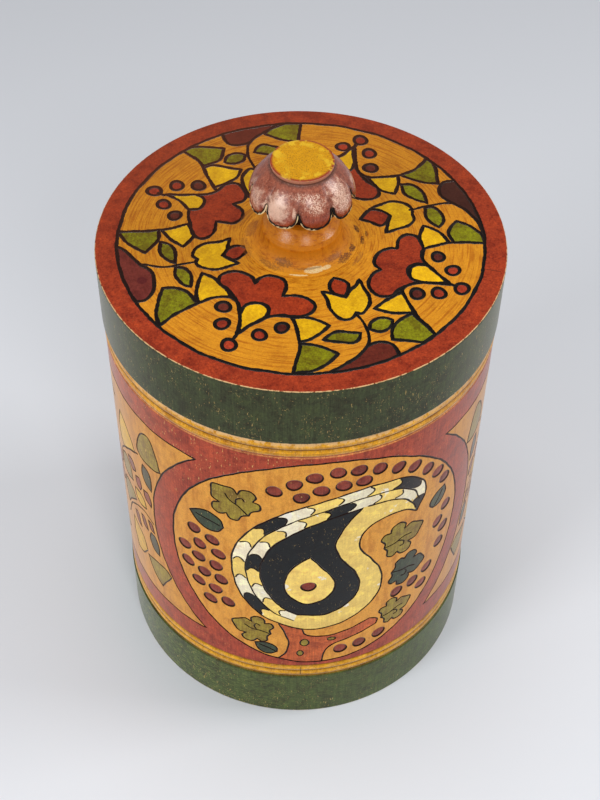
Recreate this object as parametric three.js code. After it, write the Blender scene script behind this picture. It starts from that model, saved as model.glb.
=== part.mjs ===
// Turned and painted wooden canister with a lift-off lid and a petalled knob.
// Units are millimetres, +Z is up, and the origin is the centre of the foot's resting face.
//
// The jar is a turned tube with a stepped disc let into a rebate at its foot. Its wall is cut
// back outside at the mouth, which leaves a neck, and the hollow lid drops over that neck.
// The knob is turned by itself, its skirt is cut into petals, and its tenon is glued in the lid.

import * as THREE from 'three';

// Driving dimensions

const bodyRadius = 69.5;
const wallThickness = 9;

// Heights of the bands round the jar, from the foot up.
const footBandHeight = 26.8;
const reedPairHeight = 7.2;
const fieldHeight = 129.4;
const footProud = 0.5;
const footArris = 0.6;

// Each turned pair of reeds is two rounded beads with a groove at each edge.
const reedProud = 0.15;
const grooveDepth = 0.7;

// The neck that the lid drops over.
const neckHeight = 12;
const neckCutback = 4.5;
const neckArris = 0.8;
const lidSideClearance = 0.4;

// The disc that closes the foot. Its flange lies in the rebate and the rest fills the bore.
const baseThickness = 9;
const baseFlangeThickness = 4;
const baseRecess = 1.5;
const rebateDepth = 4;
const baseGlueGap = 0.3;

// The lid.
const lidOverhang = 0.5;
const lidHeight = 25.5;
const lidTopThickness = 9;
const lidArris = 0.5;
const seatGap = 0.3;

// The knob. Heights are above the lid's face.
const tenonRadius = 6;
const tenonLength = 6.5;
const tenonGlueGap = 0.3;
const knobHeight = 34.1;
const knobBaseRadius = 19.5;
const knobBaseEdge = 0.9;
const collarRadius = 13.7;
const collarHeight = 7;
const collarEdge = 0.5;
const knobWaistRadius = 9.8;
const knobWaistHeight = 12.4;
const skirtHeight = 19;
const skirtThickness = 2.7;
const domeRadius = 17.8;
const domeWidestHeight = 20.6;
const topDiscRadius = 10.5;
const topCoveRadius = 10.3;
const topCoveHeight = 32.4;
const topArris = 0.3;

// The petals are arcs along the skirt's lower edge, with a notch between each two.
const petalCount = 9;
const notchHeight = 5.6;
const petalCrown = 0.8;
const firstNotchDegrees = -93.4;

// Facets
const stepsPerPetal = 8;
const segments = petalCount * stepsPerPetal;
const reedSteps = 4;
const domeSteps = 7;
const footSteps = 5;
const neckSteps = 4;

// Sizes that follow from the driving dimensions

const boreRadius = bodyRadius - wallThickness;
const footRadius = bodyRadius + footProud;
const neckRadius = bodyRadius - neckCutback;
const lidRadius = bodyRadius + lidOverhang;
const shoulderZ = footBandHeight + 2 * reedPairHeight + fieldHeight;
const neckTopZ = shoulderZ + neckHeight;
const lidBottomZ = shoulderZ + seatGap;
const lidTopZ = lidBottomZ + lidHeight;
const floorZ = baseRecess + baseThickness;
const flangeTopZ = baseRecess + baseFlangeThickness;
const rebateRadius = boreRadius + rebateDepth;
const knobFootZ = lidTopZ + seatGap;

const point = (radius, height) => new THREE.Vector2(radius, height);

// A solid of revolution about Z from a profile of (radius, height) points.
function turned(profile) {
  const geometry = new THREE.LatheGeometry(profile, segments);
  geometry.rotateX(Math.PI / 2);
  return geometry;
}

// The outside of one reed, from the groove below it to the groove above it: a shallow arc
// whose middle stands proud of the wall and whose two ends lie at the bottom of the grooves.
function reed(bottom, height) {
  const points = [];
  for (let i = 0; i <= reedSteps; i += 1) {
    const across = i / reedSteps;
    const swell = Math.sqrt(Math.sin(Math.PI * across));
    const radius = bodyRadius - grooveDepth + swell * (grooveDepth + reedProud);
    points.push(point(radius, bottom + across * height));
  }
  return points;
}

// Two reeds, one on the other, sharing the groove between them.
function reedPair(bottom) {
  const each = reedPairHeight / 2;
  return [...reed(bottom, each), ...reed(bottom + each, each).slice(1)];
}

// The jar's wall: foot, reeds, plain field, reeds, shoulder and neck outside; bore and rebate inside.
function jarWall() {
  const lowerReeds = footBandHeight;
  const upperReeds = shoulderZ - reedPairHeight;
  const ledgeZ = flangeTopZ + baseGlueGap;
  const profile = [
    point(rebateRadius, 0),
    point(footRadius - footArris, 0),
    point(footRadius, footArris),
    point(footRadius, lowerReeds - grooveDepth),
    ...reedPair(lowerReeds),
    point(bodyRadius, lowerReeds + reedPairHeight + grooveDepth),
    point(bodyRadius, upperReeds - grooveDepth),
    ...reedPair(upperReeds),
    point(neckRadius, shoulderZ),
    point(neckRadius, neckTopZ - neckArris),
    point(neckRadius - neckArris, neckTopZ),
    point(boreRadius, neckTopZ),
    point(boreRadius, ledgeZ),
    point(rebateRadius, ledgeZ),
    point(rebateRadius, 0),
  ];
  return turned(profile);
}

// The disc that closes the jar: a flange in the rebate, clear of the table by the recess, and a
// step that goes up into the bore and makes the floor.
function baseDisc() {
  const flangeRadius = rebateRadius - baseGlueGap;
  const stepRadius = boreRadius - baseGlueGap;
  return turned([
    point(0, baseRecess),
    point(flangeRadius, baseRecess),
    point(flangeRadius, flangeTopZ),
    point(stepRadius, flangeTopZ),
    point(stepRadius, floorZ),
    point(0, floorZ),
  ]);
}

// The lid: a deep cap, hollow below, with a blind socket for the knob's tenon above.
function lid() {
  const innerRadius = neckRadius + lidSideClearance;
  const ceilingZ = lidTopZ - lidTopThickness;
  const socketRadius = tenonRadius + tenonGlueGap;
  const socketZ = lidTopZ - tenonLength - tenonGlueGap;
  return turned([
    point(0, ceilingZ),
    point(innerRadius, ceilingZ),
    point(innerRadius, lidBottomZ),
    point(lidRadius, lidBottomZ),
    point(lidRadius, lidTopZ - lidArris),
    point(lidRadius - lidArris, lidTopZ),
    point(socketRadius, lidTopZ),
    point(socketRadius, socketZ),
    point(0, socketZ),
  ]);
}

// How far round a petal an angle lies: 1 on the petal's middle and 0 in the notch beside it.
function petalArc(angle) {
  const turns = (angle - THREE.MathUtils.degToRad(firstNotchDegrees)) * petalCount / (2 * Math.PI);
  const acrossPetal = turns - Math.floor(turns);
  return Math.sin(Math.PI * acrossPetal) ** 0.4;
}

// The dome's radius at a height: an ellipse that is widest low down and closes in to the cove.
function domeProfile(height) {
  const above = (height - domeWidestHeight) / (topCoveHeight - domeWidestHeight);
  const drop = (domeRadius - topCoveRadius) * Math.abs(above) ** 2.1;
  return domeRadius - drop;
}

// The knob's rows, each a function of the angle that gives a radius and a height above the lid.
// They run up the outside from the tenon: foot, collar, neck, underside of the skirt, petals, top.
function knobRows() {
  const rows = [];
  const ring = (radius, height) => rows.push(() => [radius, height]);
  const lipHeight = (angle) => skirtHeight + notchHeight * (1 - petalArc(angle));

  ring(tenonRadius, -tenonLength);
  ring(tenonRadius, seatGap);
  ring(knobBaseRadius, seatGap);
  ring(knobBaseRadius, knobBaseEdge);

  // The foot is a hollow curve from the base's edge in to the collar.
  for (let i = 1; i <= footSteps; i += 1) {
    const up = i / footSteps;
    const inwards = (knobBaseRadius - collarRadius) * (1 - (1 - up) ** 2.2);
    const height = knobBaseEdge + (collarHeight - knobBaseEdge) * up ** 1.7;
    ring(knobBaseRadius - inwards, height);
  }

  // Over the collar's narrow edge the neck slopes in, a little hollow, to the waist.
  const slopeHeight = knobWaistHeight - collarHeight - collarEdge;
  for (let i = 0; i <= neckSteps; i += 1) {
    const up = i / neckSteps;
    const outwards = (collarRadius - knobWaistRadius) * (1 - up) ** 1.4;
    ring(knobWaistRadius + outwards, collarHeight + collarEdge + slopeHeight * up);
  }

  // The waist turns out again under the skirt, up to the core behind the notches.
  const coreRadius = domeRadius - skirtThickness;
  ring(knobWaistRadius + 1, (knobWaistHeight + skirtHeight) / 2);
  ring(coreRadius - 0.3, skirtHeight - 0.1);
  rows.push((angle) => [coreRadius, lipHeight(angle) + 0.1]);

  // The petals rise from the scalloped lip to the cove, following the dome.
  for (let i = 0; i <= domeSteps; i += 1) {
    const up = i / domeSteps;
    rows.push((angle) => {
      const lip = lipHeight(angle);
      const height = lip + (topCoveHeight - lip) * up;
      const crown = petalCrown * (petalArc(angle) - 1) * (1 - up);
      return [domeProfile(height) + crown, height];
    });
  }

  ring(topDiscRadius, topCoveHeight + 2 * topArris);
  ring(topDiscRadius, knobHeight - topArris);
  ring(topDiscRadius - topArris, knobHeight);
  return rows;
}

// Joins rows of points into one closed skin, with a fan over each end.
function knob() {
  const rows = knobRows();
  const positions = [];
  rows.forEach((row) => {
    for (let i = 0; i < segments; i += 1) {
      const angle = THREE.MathUtils.degToRad(firstNotchDegrees) + i / segments * 2 * Math.PI;
      const [radius, height] = row(angle);
      positions.push(radius * Math.cos(angle), radius * Math.sin(angle), lidTopZ + height);
    }
  });
  const bottomPole = positions.length / 3;
  positions.push(0, 0, lidTopZ - tenonLength);
  const topPole = bottomPole + 1;
  positions.push(0, 0, lidTopZ + knobHeight);

  const triangles = [];
  const lastRow = (rows.length - 1) * segments;
  for (let i = 0; i < segments; i += 1) {
    const next = (i + 1) % segments;
    triangles.push(bottomPole, next, i);
    triangles.push(topPole, lastRow + i, lastRow + next);
    for (let j = 0; j < lastRow; j += segments) {
      triangles.push(j + i, j + next, j + segments + next);
      triangles.push(j + i, j + segments + next, j + segments + i);
    }
  }
  const geometry = new THREE.BufferGeometry();
  geometry.setAttribute('position', new THREE.Float32BufferAttribute(positions, 3));
  geometry.setIndex(triangles);
  geometry.computeVertexNormals();
  return geometry;
}

// Finishes, by colour: painted and varnished wood, and bare turned wood underneath.
const finish = (color, roughness) => new THREE.MeshStandardMaterial({ color, roughness, metalness: 0 });

function piece(name, geometry, material) {
  const mesh = new THREE.Mesh(geometry, material);
  mesh.name = name;
  return mesh;
}

const canister = new THREE.Group();
canister.name = 'canister';
canister.add(piece('jar_wall', jarWall(), finish(0xa85a40, 0.5)));
canister.add(piece('base_disc', baseDisc(), finish(0xa9713a, 0.7)));
canister.add(piece('lid', lid(), finish(0xc98a35, 0.45)));
canister.add(piece('knob', knob(), finish(0x9a4a40, 0.35)));

export default canister;
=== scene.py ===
import math
from typing import NamedTuple

import bpy
import numpy as np
from mathutils import Matrix, Vector
from mathutils.geometry import delaunay_2d_cdt


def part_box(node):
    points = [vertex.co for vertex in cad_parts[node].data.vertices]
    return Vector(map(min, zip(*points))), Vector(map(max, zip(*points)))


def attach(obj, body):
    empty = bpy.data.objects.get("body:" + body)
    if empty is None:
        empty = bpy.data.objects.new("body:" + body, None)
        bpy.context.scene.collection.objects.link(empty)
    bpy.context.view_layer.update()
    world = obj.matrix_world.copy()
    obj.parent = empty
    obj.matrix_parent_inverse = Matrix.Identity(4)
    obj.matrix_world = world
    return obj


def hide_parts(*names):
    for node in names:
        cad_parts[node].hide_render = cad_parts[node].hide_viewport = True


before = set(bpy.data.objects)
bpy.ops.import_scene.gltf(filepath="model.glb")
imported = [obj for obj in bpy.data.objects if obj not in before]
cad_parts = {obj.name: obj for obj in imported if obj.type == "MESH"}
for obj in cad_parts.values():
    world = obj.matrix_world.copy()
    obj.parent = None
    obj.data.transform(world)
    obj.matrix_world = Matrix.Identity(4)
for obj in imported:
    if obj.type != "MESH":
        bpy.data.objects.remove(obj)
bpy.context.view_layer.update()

# A turned canister whose lid and wall are cut with outlines and painted. The pieces are worked out
# in millimetres, in the frame's axes, and scaled to metres when they become meshes.

MM = 0.001


# Sizes that the frame gives

def highest(node):
    """The highest corner of a node's box, in millimetres."""
    return np.array(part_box(node)[1]) / MM


LID_RADIUS = highest("lid")[0]
LID_TOP = highest("lid")[2]
LID_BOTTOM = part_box("lid")[0][2] / MM
NECK_TOP = highest("jar_wall")[2]
FOOT_RADIUS = highest("jar_wall")[0]
FLOOR_Z = highest("base_disc")[2]
BASE_RADIUS = highest("base_disc")[0]
BASE_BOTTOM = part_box("base_disc")[0][2] / MM
KNOB_TOP = highest("knob")[2]
TENON_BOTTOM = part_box("knob")[0][2] / MM

# Sizes inside the nodes' boxes

GLUE_GAP = 0.3
BODY_RADIUS = 69.5
BORE_RADIUS = 60.5
REBATE_RADIUS = BASE_RADIUS + GLUE_GAP
LEDGE_Z = 5.8
FLANGE_TOP = 5.5
FOOT_ARRIS = 0.6
NECK_RADIUS = 65.0
NECK_ARRIS = 0.8
SHOULDER_Z = NECK_TOP - 12.0
LOWER_REEDS = 26.8
REED_HEIGHT = 3.6
UPPER_REEDS = SHOULDER_Z - 2 * REED_HEIGHT
GROOVE_DEPTH = 0.7
GROOVE_RADIUS = BODY_RADIUS - GROOVE_DEPTH
REED_PROUD = 0.15
LID_INNER_RADIUS = 65.4
LID_CEILING = LID_TOP - 9.0
LID_ARRIS = 0.5
SOCKET_RADIUS = 6.3
SOCKET_Z = LID_TOP - 6.8
TENON_RADIUS = 6.0

# Colours of the paints and of the wood under them, as they look in plain light, with a few painted
# highlights and painted shade among them

LID_WOOD = (218, 144, 30)
BODY_WOOD = (222, 154, 60)
RAW_WOOD = (190, 142, 84)
CHIPPED_WOOD = (232, 205, 150)
GOLD = (214, 150, 30)
LOWER_GOLD = (212, 152, 32)
REED_LINE = (74, 34, 14)
REED_PINK_HIGHLIGHT = (208, 136, 84)
LID_RED = (154, 54, 26)
WORN_EDGE = (240, 198, 142)
BODY_RED = (168, 68, 44)
LID_GREEN = (60, 66, 40)
FOOT_GREEN = (72, 84, 42)
YELLOW = (224, 172, 14)
LEAF_GREEN = (122, 120, 8)
BRICK = (152, 52, 24)
PLUM_BROWN = (98, 36, 24)
LID_BERRY = (156, 52, 28)
LID_PLUM = (92, 36, 26)
BODY_BERRY = (136, 58, 44)
OLIVE = (148, 126, 44)
TEAL = (58, 70, 52)
ORANGE = (192, 92, 46)
CREAM = (244, 208, 112)
WHITE = (244, 232, 200)
BLACK = (20, 22, 25)
LID_LINE = (14, 7, 5)
BODY_LINE = (34, 16, 10)
KNOB_TOP_YELLOW = (206, 146, 8)
KNOB_RIM = (150, 52, 32)
KNOB_EDGE_HIGHLIGHT = (188, 124, 98)
KNOB_COVE_SHADE = (104, 62, 48)
PETAL_RED = (150, 56, 30)
PETAL_PURPLE = (150, 78, 54)
KNOB_GOLD = (206, 122, 14)
KNOB_FOOT = (202, 122, 20)
PETAL_RUB_AND_HIGHLIGHT = (244, 206, 180)
PETAL_GRAINS = (206, 156, 128)
TOP_PITS = (104, 66, 16)
TOP_BRIGHT = (238, 200, 48)

# Colours of wear, stains, painted shade, painted reflections, bare wood and the floor

FLECK = (226, 186, 112)
PALE_WORN = (248, 240, 224)
PALE_STAINED = (214, 160, 76)
LID_SHADE = (108, 54, 30)
LID_KNOT = (74, 16, 22)
LID_SIDE_REFLECTION = (168, 164, 140)
RIM_CRACK = (60, 30, 22)
FOOT_LIGHT = (134, 146, 72)
FOOT_DARK = (50, 60, 34)
JAR_LEFT_REFLECTION = (232, 176, 130)
JAR_RIGHT_REFLECTION = (150, 124, 116)
REED_CRACK = (52, 30, 20)
BARE_DARK = (160, 108, 60)
BARE_LIGHT = (206, 160, 104)
FLOOR_NEAR = (231, 234, 239)
FLOOR_FAR = (200, 202, 207)


def linear(colour):
    """A colour of three 8-bit values as linear light, by the sRGB curve."""
    share = np.asarray(colour, float) / 255
    return np.where(share <= 0.04045, share / 12.92, ((share + 0.055) / 1.055) ** 2.4)


# Drawing: lines and outlines in the plane of a face. A knot is (x, y), or (x, y, 1) where the line
# turns a corner. Lines get a point every STEP, and so many points or stretches are tested at a time.

STEP = 0.8
POINTS_AT_ONCE = 4000
STRETCHES_AT_ONCE = 40


def curve_through(knots):
    """Points about STEP apart on a Catmull-Rom curve through the knots: each stretch is a cubic
    whose slope at a knot is half the way between the knots on either side of it."""
    knots = np.asarray(knots, float)
    padded = np.vstack((2 * knots[0] - knots[1], knots, 2 * knots[-1] - knots[-2]))
    before, here, there, beyond = padded[:-3], padded[1:-2], padded[2:-1], padded[3:]
    counts = np.maximum(1, np.ceil(np.linalg.norm(there - here, axis=1) / STEP)).astype(int)
    first = np.cumsum(counts) - counts
    share = (np.arange(counts.sum()) - np.repeat(first, counts)) / np.repeat(counts, counts)
    share = share[:, None]
    before, here, there, beyond = (np.repeat(a, counts, 0) for a in (before, here, there, beyond))
    bend = 2 * before - 5 * here + 4 * there - beyond
    twist = 3 * here - before - 3 * there + beyond
    points = here + 0.5 * ((there - before) * share + bend * share ** 2 + twist * share ** 3)
    return np.vstack((points, knots[-1]))


def trace(knots, closed=True):
    """A line through given knots, smooth apart from its corners."""
    flat = np.array([knot[:2] for knot in knots], float)
    corners = [i for i, knot in enumerate(knots) if len(knot) > 2]
    if closed and not corners:
        whole = curve_through(np.vstack((flat, flat, flat)))
        apart = np.abs(whole - flat[0]).sum(1)
        slack = 9
        second = len(whole) // 3 - slack
        start = np.argmin(apart[second:]) + second
        stop = np.argmin(apart[start + slack:]) + start + slack
        return whole[start:stop]
    if closed:
        flat = np.roll(flat, -corners[0], 0)
        flat = np.vstack((flat, flat[0]))
        corners = [i - corners[0] for i in corners] + [len(flat) - 1]
    else:
        corners = sorted({0, *corners, len(flat) - 1})
    runs = [curve_through(flat[a:b + 1])[:-1] for a, b in zip(corners, corners[1:])]
    return np.vstack(runs if closed else [*runs, flat[-1:]])


def by_hand(points):
    """The drift of a knife led by hand: every point moves by up to 0.2 mm, by slow sine waves of
    its place, so lines near each other drift together."""
    x, y = points.T
    across = 0.12 * np.sin(0.31 * x + 0.23 * y) + 0.08 * np.sin(0.71 * y - 0.53 * x + 1.3)
    along = 0.12 * np.sin(0.27 * y - 0.33 * x + 2.1) + 0.08 * np.sin(0.67 * x + 0.59 * y + 0.4)
    return points + np.stack((across, along), -1)


def towards(turn):
    """Steps of one millimetre at angles from x."""
    return np.stack((np.cos(turn), np.sin(turn)), -1)


def ring(centre, radii, count):
    """Points on an ellipse, or on a circle where radii is one number."""
    return np.asarray(centre) + towards(np.arange(count) * 2 * np.pi / count) * radii


def inside(points, outline):
    """Which points lie in an outline: those from which a line to the right crosses it an odd
    number of times."""
    found = np.zeros(len(points), bool)
    near = np.flatnonzero(((points > outline.min(0)) & (points < outline.max(0))).all(1))
    ends = np.roll(outline, -1, 0)
    rise = ends[:, 1] - outline[:, 1]
    rise = np.where(rise == 0, 1e-9, rise)
    for some in np.array_split(near, len(near) // POINTS_AT_ONCE + 1):
        x, y = points[some, 0, None], points[some, 1, None]
        spans = (outline[:, 1] > y) != (ends[:, 1] > y)
        meets = outline[:, 0] + (y - outline[:, 1]) / rise * (ends[:, 0] - outline[:, 0])
        found[some] = (spans & (x < meets)).sum(1) % 2 == 1
    return found


# Shares of a cut's half width and of a berry's radius that stay clear of the face's loose grid, and
# the share that stands for places with no cut or berry near.

CLEAR_OF_CUT = 1.8
CLEAR_OF_BERRY = 1.12
NONE_NEAR = 9.0
BERRY_RADIUS = 3.0
BERRY_POINTS = 20


class Pattern:
    """The ornament of one face, in millimetres: areas of paint, cut lines and round berries."""

    def __init__(self, line_width, line_depth, line_colour, berry_rings, berry_depths, berry_core):
        self.half_width = line_width / 2
        self.line_depth = line_depth
        self.line_colour = line_colour
        self.berry_rings = berry_rings
        self.berry_depths = berry_depths
        self.berry_core = berry_core
        self.areas = []
        self.cuts = []
        self.berries = []

    def area(self, outline, colour, bare=0.0):
        self.areas.append((by_hand(outline), colour, bare))

    def cut(self, line, closed=False, width=1.0):
        """A V-shaped cut along a line. Its width drifts by a seventh, as pressed by hand, and its
        edges are a little ragged."""
        line = by_hand(line)
        x, y = line.T
        press = 1 + 0.14 * np.sin(0.9 * x + 0.5 * y) * np.cos(0.6 * y - 0.4 * x)
        press += 0.1 * np.sin(5.3 * x - 3.1 * y) + 0.06 * np.sin(8.7 * x + 9.9 * y)
        self.cuts.append((line, self.half_width * width * press, closed))

    def shape(self, outline, colour, bare=0.0, width=1.0):
        self.area(outline, colour, bare)
        self.cut(outline, True, width)

    def berry(self, centre, radius, colour):
        centre = by_hand(np.array([centre], float))[0]
        self.berries.append((centre, radius, colour))

    def berry_radius(self, berry, turn):
        """A berry's radius towards an angle: nearly round, with two slow waves."""
        centre, radius, _ = berry
        lean = centre[0] * 0.7 + centre[1] * 1.1
        return radius * (1 + 0.05 * np.sin(2 * turn + lean) + 0.03 * np.sin(3 * turn - lean))

    def edges(self):
        """Lines that the face's triangles must follow, as (points, closed)."""
        lines = []
        for line, half, closed in self.cuts:
            if closed:
                slope = np.roll(line, -1, 0) - np.roll(line, 1, 0)
            else:
                slope = np.gradient(line, axis=0)
            slope /= np.linalg.norm(slope, axis=1)[:, None]
            side = np.stack((-slope[:, 1], slope[:, 0]), -1) * half[:, None]
            lines.append((line, closed))
            if closed:
                lines += [(line + side, True), (line - side, True)]
            else:
                start = line[0] - slope[0] * half[0]
                end = line[-1] + slope[-1] * half[-1]
                loop = np.vstack((start, line - side, end, (line + side)[::-1]))
                lines.append((loop, True))
        for berry in self.berries:
            for share in self.berry_rings:
                count = max(8, int(BERRY_POINTS * share))
                turn = np.arange(count) * 2 * np.pi / count
                radius = self.berry_radius(berry, turn) * share
                lines.append((berry[0] + towards(turn) * radius[:, None], True))
        return lines

    def stretches(self):
        """The cuts' straight stretches, a few dozen at a time: starts, ends and half widths."""
        for line, half, closed in self.cuts:
            if closed:
                line = np.vstack((line, line[0]))
                half = np.append(half, half[0])
            for first in range(0, len(line) - 1, STRETCHES_AT_ONCE):
                some = slice(first, first + STRETCHES_AT_ONCE)
                yield line[:-1][some], line[1:][some], half[:-1][some], half[1:][some]

    def across_cut(self, points):
        """How far each point is from the middle of the nearest cut, as a share of its half width."""
        nearest = np.full(len(points), NONE_NEAR)
        for start, end, half_start, half_end in self.stretches():
            reach = 2.5 * half_start.max()
            low = np.minimum(start, end).min(0) - reach
            high = np.maximum(start, end).max(0) + reach
            near = np.flatnonzero(((points > low) & (points < high)).all(1))
            if len(near) == 0:
                continue
            way = end - start
            offset = points[near, None] - start
            share = np.clip((offset * way).sum(-1) / (way ** 2).sum(-1), 0, 1)
            apart = np.linalg.norm(offset - share[..., None] * way, axis=-1)
            ratio = (apart / (half_start + share * (half_end - half_start))).min(1)
            nearest[near] = np.minimum(nearest[near], ratio)
        return nearest

    def across_berry(self, points):
        """Each point's distance from the nearest berry's middle, as a share of its radius, with
        that berry's number and the way outwards."""
        nearest = np.full(len(points), NONE_NEAR)
        which = np.full(len(points), -1)
        outwards = np.zeros((len(points), 2))
        for number, berry in enumerate(self.berries):
            offset = points - berry[0]
            near = np.flatnonzero((np.abs(offset) < 1.6 * berry[1]).all(1))
            offset = offset[near]
            length = np.linalg.norm(offset, axis=1)
            ratio = length / self.berry_radius(berry, np.arctan2(offset[:, 1], offset[:, 0]))
            closer = ratio < nearest[near]
            near = near[closer]
            nearest[near] = ratio[closer]
            which[near] = number
            outwards[near] = offset[closer] / np.maximum(length[closer], 1e-6)[:, None]
        return nearest, which, outwards

    def depth(self, points):
        """How far the face lies below its plane: a V in each cut and a shallow dish in each berry."""
        cut = self.line_depth * np.clip(1 - self.across_cut(points), 0, 1)
        berry = np.interp(self.across_berry(points)[0], self.berry_rings[::-1], self.berry_depths[::-1])
        return np.maximum(cut, berry)


class Skin(NamedTuple):
    """A stretch of a piece's surface: points, and polygons of three or four corners, each corner
    with a normal, a paint and three marks (bare wood, inside a cut, worn)."""

    points: np.ndarray
    faces: np.ndarray
    normals: np.ndarray
    paints: np.ndarray
    marks: np.ndarray


def triangles_along(lines, loose, domain):
    """The points and triangles of a flat face that follow every line (points, closed) and take in
    the loose points, without the triangles whose middles lie outside the domain."""
    starts = np.cumsum([0] + [len(line) for line, _ in lines])
    given = np.vstack([line for line, _ in lines] + loose)
    joins = []
    for start, (line, closed) in zip(starts, lines):
        index = np.arange(len(line)) + start
        joins.append(np.stack((index, np.roll(index, -1)), -1)[:None if closed else -1])
    joins = np.vstack(joins).tolist()
    tolerance = 1e-4
    made = delaunay_2d_cdt([Vector(p) for p in given.tolist()], joins, [], 0, tolerance)
    points = np.array([tuple(p) for p in made[0]])
    source = np.array([s[0] if s else -1 for s in made[3]])
    points[source >= 0] = given[source[source >= 0]]
    faces = np.array(made[2])
    return points, faces[domain(points[faces].mean(1))]


# How much darker or lighter an area or a berry may be painted than its colour.

AREA_SHADES = (0.92, 1.08)
BERRY_SHADES = (0.8, 1.2)


def relief(pattern, border, domain, filler, ground, seed):
    """The triangles of a flat face with its cuts. They follow the border, both edges and the
    middle of each cut, the rings of each berry and a loose grid between, and each is painted by
    the last area that holds its middle. The result is flat: x, y and depth. A cut's triangles are
    lit flat, and a berry's corners by the slope of its dish."""
    near_cut = pattern.across_cut(filler)
    near_berry = pattern.across_berry(filler)[0]
    filler = filler[(near_cut > CLEAR_OF_CUT) & (near_berry > CLEAR_OF_BERRY)]
    middles = np.array([berry[0] for berry in pattern.berries]).reshape(-1, 2)
    points, faces = triangles_along([*border, *pattern.edges()], [middles, filler], domain)

    depth = pattern.depth(points)
    middle = points[faces].mean(1)
    ratio, which, _ = pattern.across_berry(middle)
    in_berry = ratio < 1
    in_cut = (pattern.across_cut(middle) < 1) | (in_berry & (ratio > pattern.berry_core))
    rng = np.random.default_rng(seed)
    paint = np.tile(linear(ground), (len(faces), 1))
    mark = np.zeros((len(faces), 3))
    for outline, colour, bare in pattern.areas:
        held = inside(middle, outline)
        paint[held] = linear(colour) * rng.uniform(*AREA_SHADES)
        mark[held, 0] = bare
    for number, (_, _, colour) in enumerate(pattern.berries):
        held = in_berry & (which == number)
        paint[held] = linear(colour) * rng.uniform(*BERRY_SHADES)
        mark[held, 0] = 0
    paint[in_cut] = linear(pattern.line_colour)
    mark[in_cut] = (0, 1, 0)

    corner = points[faces]
    ratio, _, outwards = pattern.across_berry(corner.reshape(-1, 2))
    rings, depths = pattern.berry_rings[::-1], pattern.berry_depths[::-1]
    reach = 0.05
    steps = np.interp(ratio - reach, rings, depths) - np.interp(ratio + reach, rings, depths)
    steps = np.where(np.repeat(in_berry, 3), steps, 0) / (2 * reach)
    slope = -outwards * (steps / BERRY_RADIUS)[:, None]
    normals = np.concatenate((slope, np.ones((len(slope), 1))), 1).reshape(-1, 3, 3)
    solid = np.concatenate((corner, -depth[faces][..., None]), 2)
    flat = np.cross(solid[:, 1] - solid[:, 0], solid[:, 2] - solid[:, 0])
    normals[in_cut] = flat[in_cut, None]
    normals /= np.maximum(np.linalg.norm(normals, axis=2), 1e-12)[..., None]
    every = np.ones((1, 3, 1))
    return points, depth, faces, normals, paint[:, None] * every, mark[:, None] * every


def laid_on_top(flat):
    """A relief on the lid's face: the drawing's plane is the face, seen from above."""
    points, depth, faces, normals, paints, marks = flat
    solid = np.concatenate((points, (LID_TOP - depth)[:, None]), 1)
    return Skin(solid, faces, normals, paints, marks)


def wrapped_round(flat):
    """A relief on the jar's wall: x is the way round from the front and y the height."""
    points, depth, faces, normals, paints, marks = flat
    turn = points[:, 0] / BODY_RADIUS
    level = np.zeros(len(turn))
    out = np.stack((np.sin(turn), -np.cos(turn), level), -1)
    right = np.stack((np.cos(turn), np.sin(turn), level), -1)
    solid = out * (BODY_RADIUS - depth)[:, None]
    solid[:, 2] = points[:, 1]
    out, right = out[faces], right[faces]
    turned_normals = normals[..., :1] * right + normals[..., 2:] * out
    turned_normals[..., 2] += normals[..., 1]
    return Skin(solid, faces, turned_normals, paints, marks)


def carried_round(rows, paints, marks):
    """A closed band of quads from a grid of points (row, column, 3), whose columns go round the
    axis. A corner's normal is the cross product of the steps along its column and its row."""
    count = rows.shape[1]
    around = np.roll(rows, -1, 1) - np.roll(rows, 1, 1)
    along = np.gradient(rows, axis=0)
    normals = np.cross(around, along)
    length = np.linalg.norm(normals, axis=2)[..., None]
    normals = np.where(length > 1e-9, normals / np.maximum(length, 1e-9), 0)
    for pole, beside in ((0, 1), (-1, -2)):
        if np.abs(rows[pole, :, :2]).max() < 1e-6:
            normals[pole] = normals[beside].mean(0)
    index = np.arange(rows.shape[0] * count).reshape(rows.shape[:2])
    low, high = index[:-1], index[1:]
    faces = np.stack((low, np.roll(low, -1, 1), np.roll(high, -1, 1), high), -1).reshape(-1, 4)
    normals = normals.reshape(-1, 3)[faces]
    paints = np.broadcast_to(paints, rows.shape).reshape(-1, 3)[faces]
    marks = np.broadcast_to(marks, rows.shape).reshape(-1, 3)[faces]
    return Skin(rows.reshape(-1, 3), faces, normals, paints, marks)


def for_each_row(values):
    """Colours or marks as an array that suits a grid of points: one for all, or one for each row."""
    values = np.asarray(values, float)
    return values[:, None] if values.ndim > 1 else values


# Columns of points round the canister, and round the lid's socket.

COLUMNS = 360
SOCKET_COLUMNS = 72


def turned(profile, colour, marks=(0, 0, 0), count=COLUMNS):
    """A surface of revolution: each (radius, height) of the profile carried round the axis. The
    profile runs with the wood on its left, and may have a colour and marks for each point."""
    profile = np.asarray(profile, float)
    turn = np.radians(np.arange(count) * 360 / count)[None, :]
    radius, height = profile[:, :1], profile[:, 1:]
    rows = np.stack((radius * np.cos(turn), radius * np.sin(turn), height + 0 * turn), -1)
    return carried_round(rows, for_each_row(colour), for_each_row(marks))


def straight(start, end, count=1):
    """A profile's straight run in so many steps."""
    return np.linspace(start, end, count + 1)


def rounded_edge(radius, height, size, count, side=1):
    """The quarter circle between a side and the face at its top, or at its foot where side is -1,
    as a profile that runs upwards at the foot and inwards at the top."""
    turn = np.linspace(0, math.pi / 2, count)
    drop = size * (1 - np.sin(turn))
    return np.stack((radius - size * (1 - np.cos(turn)), height - side * drop), -1)[::side]


BARE = (1, 0, 0)


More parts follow.
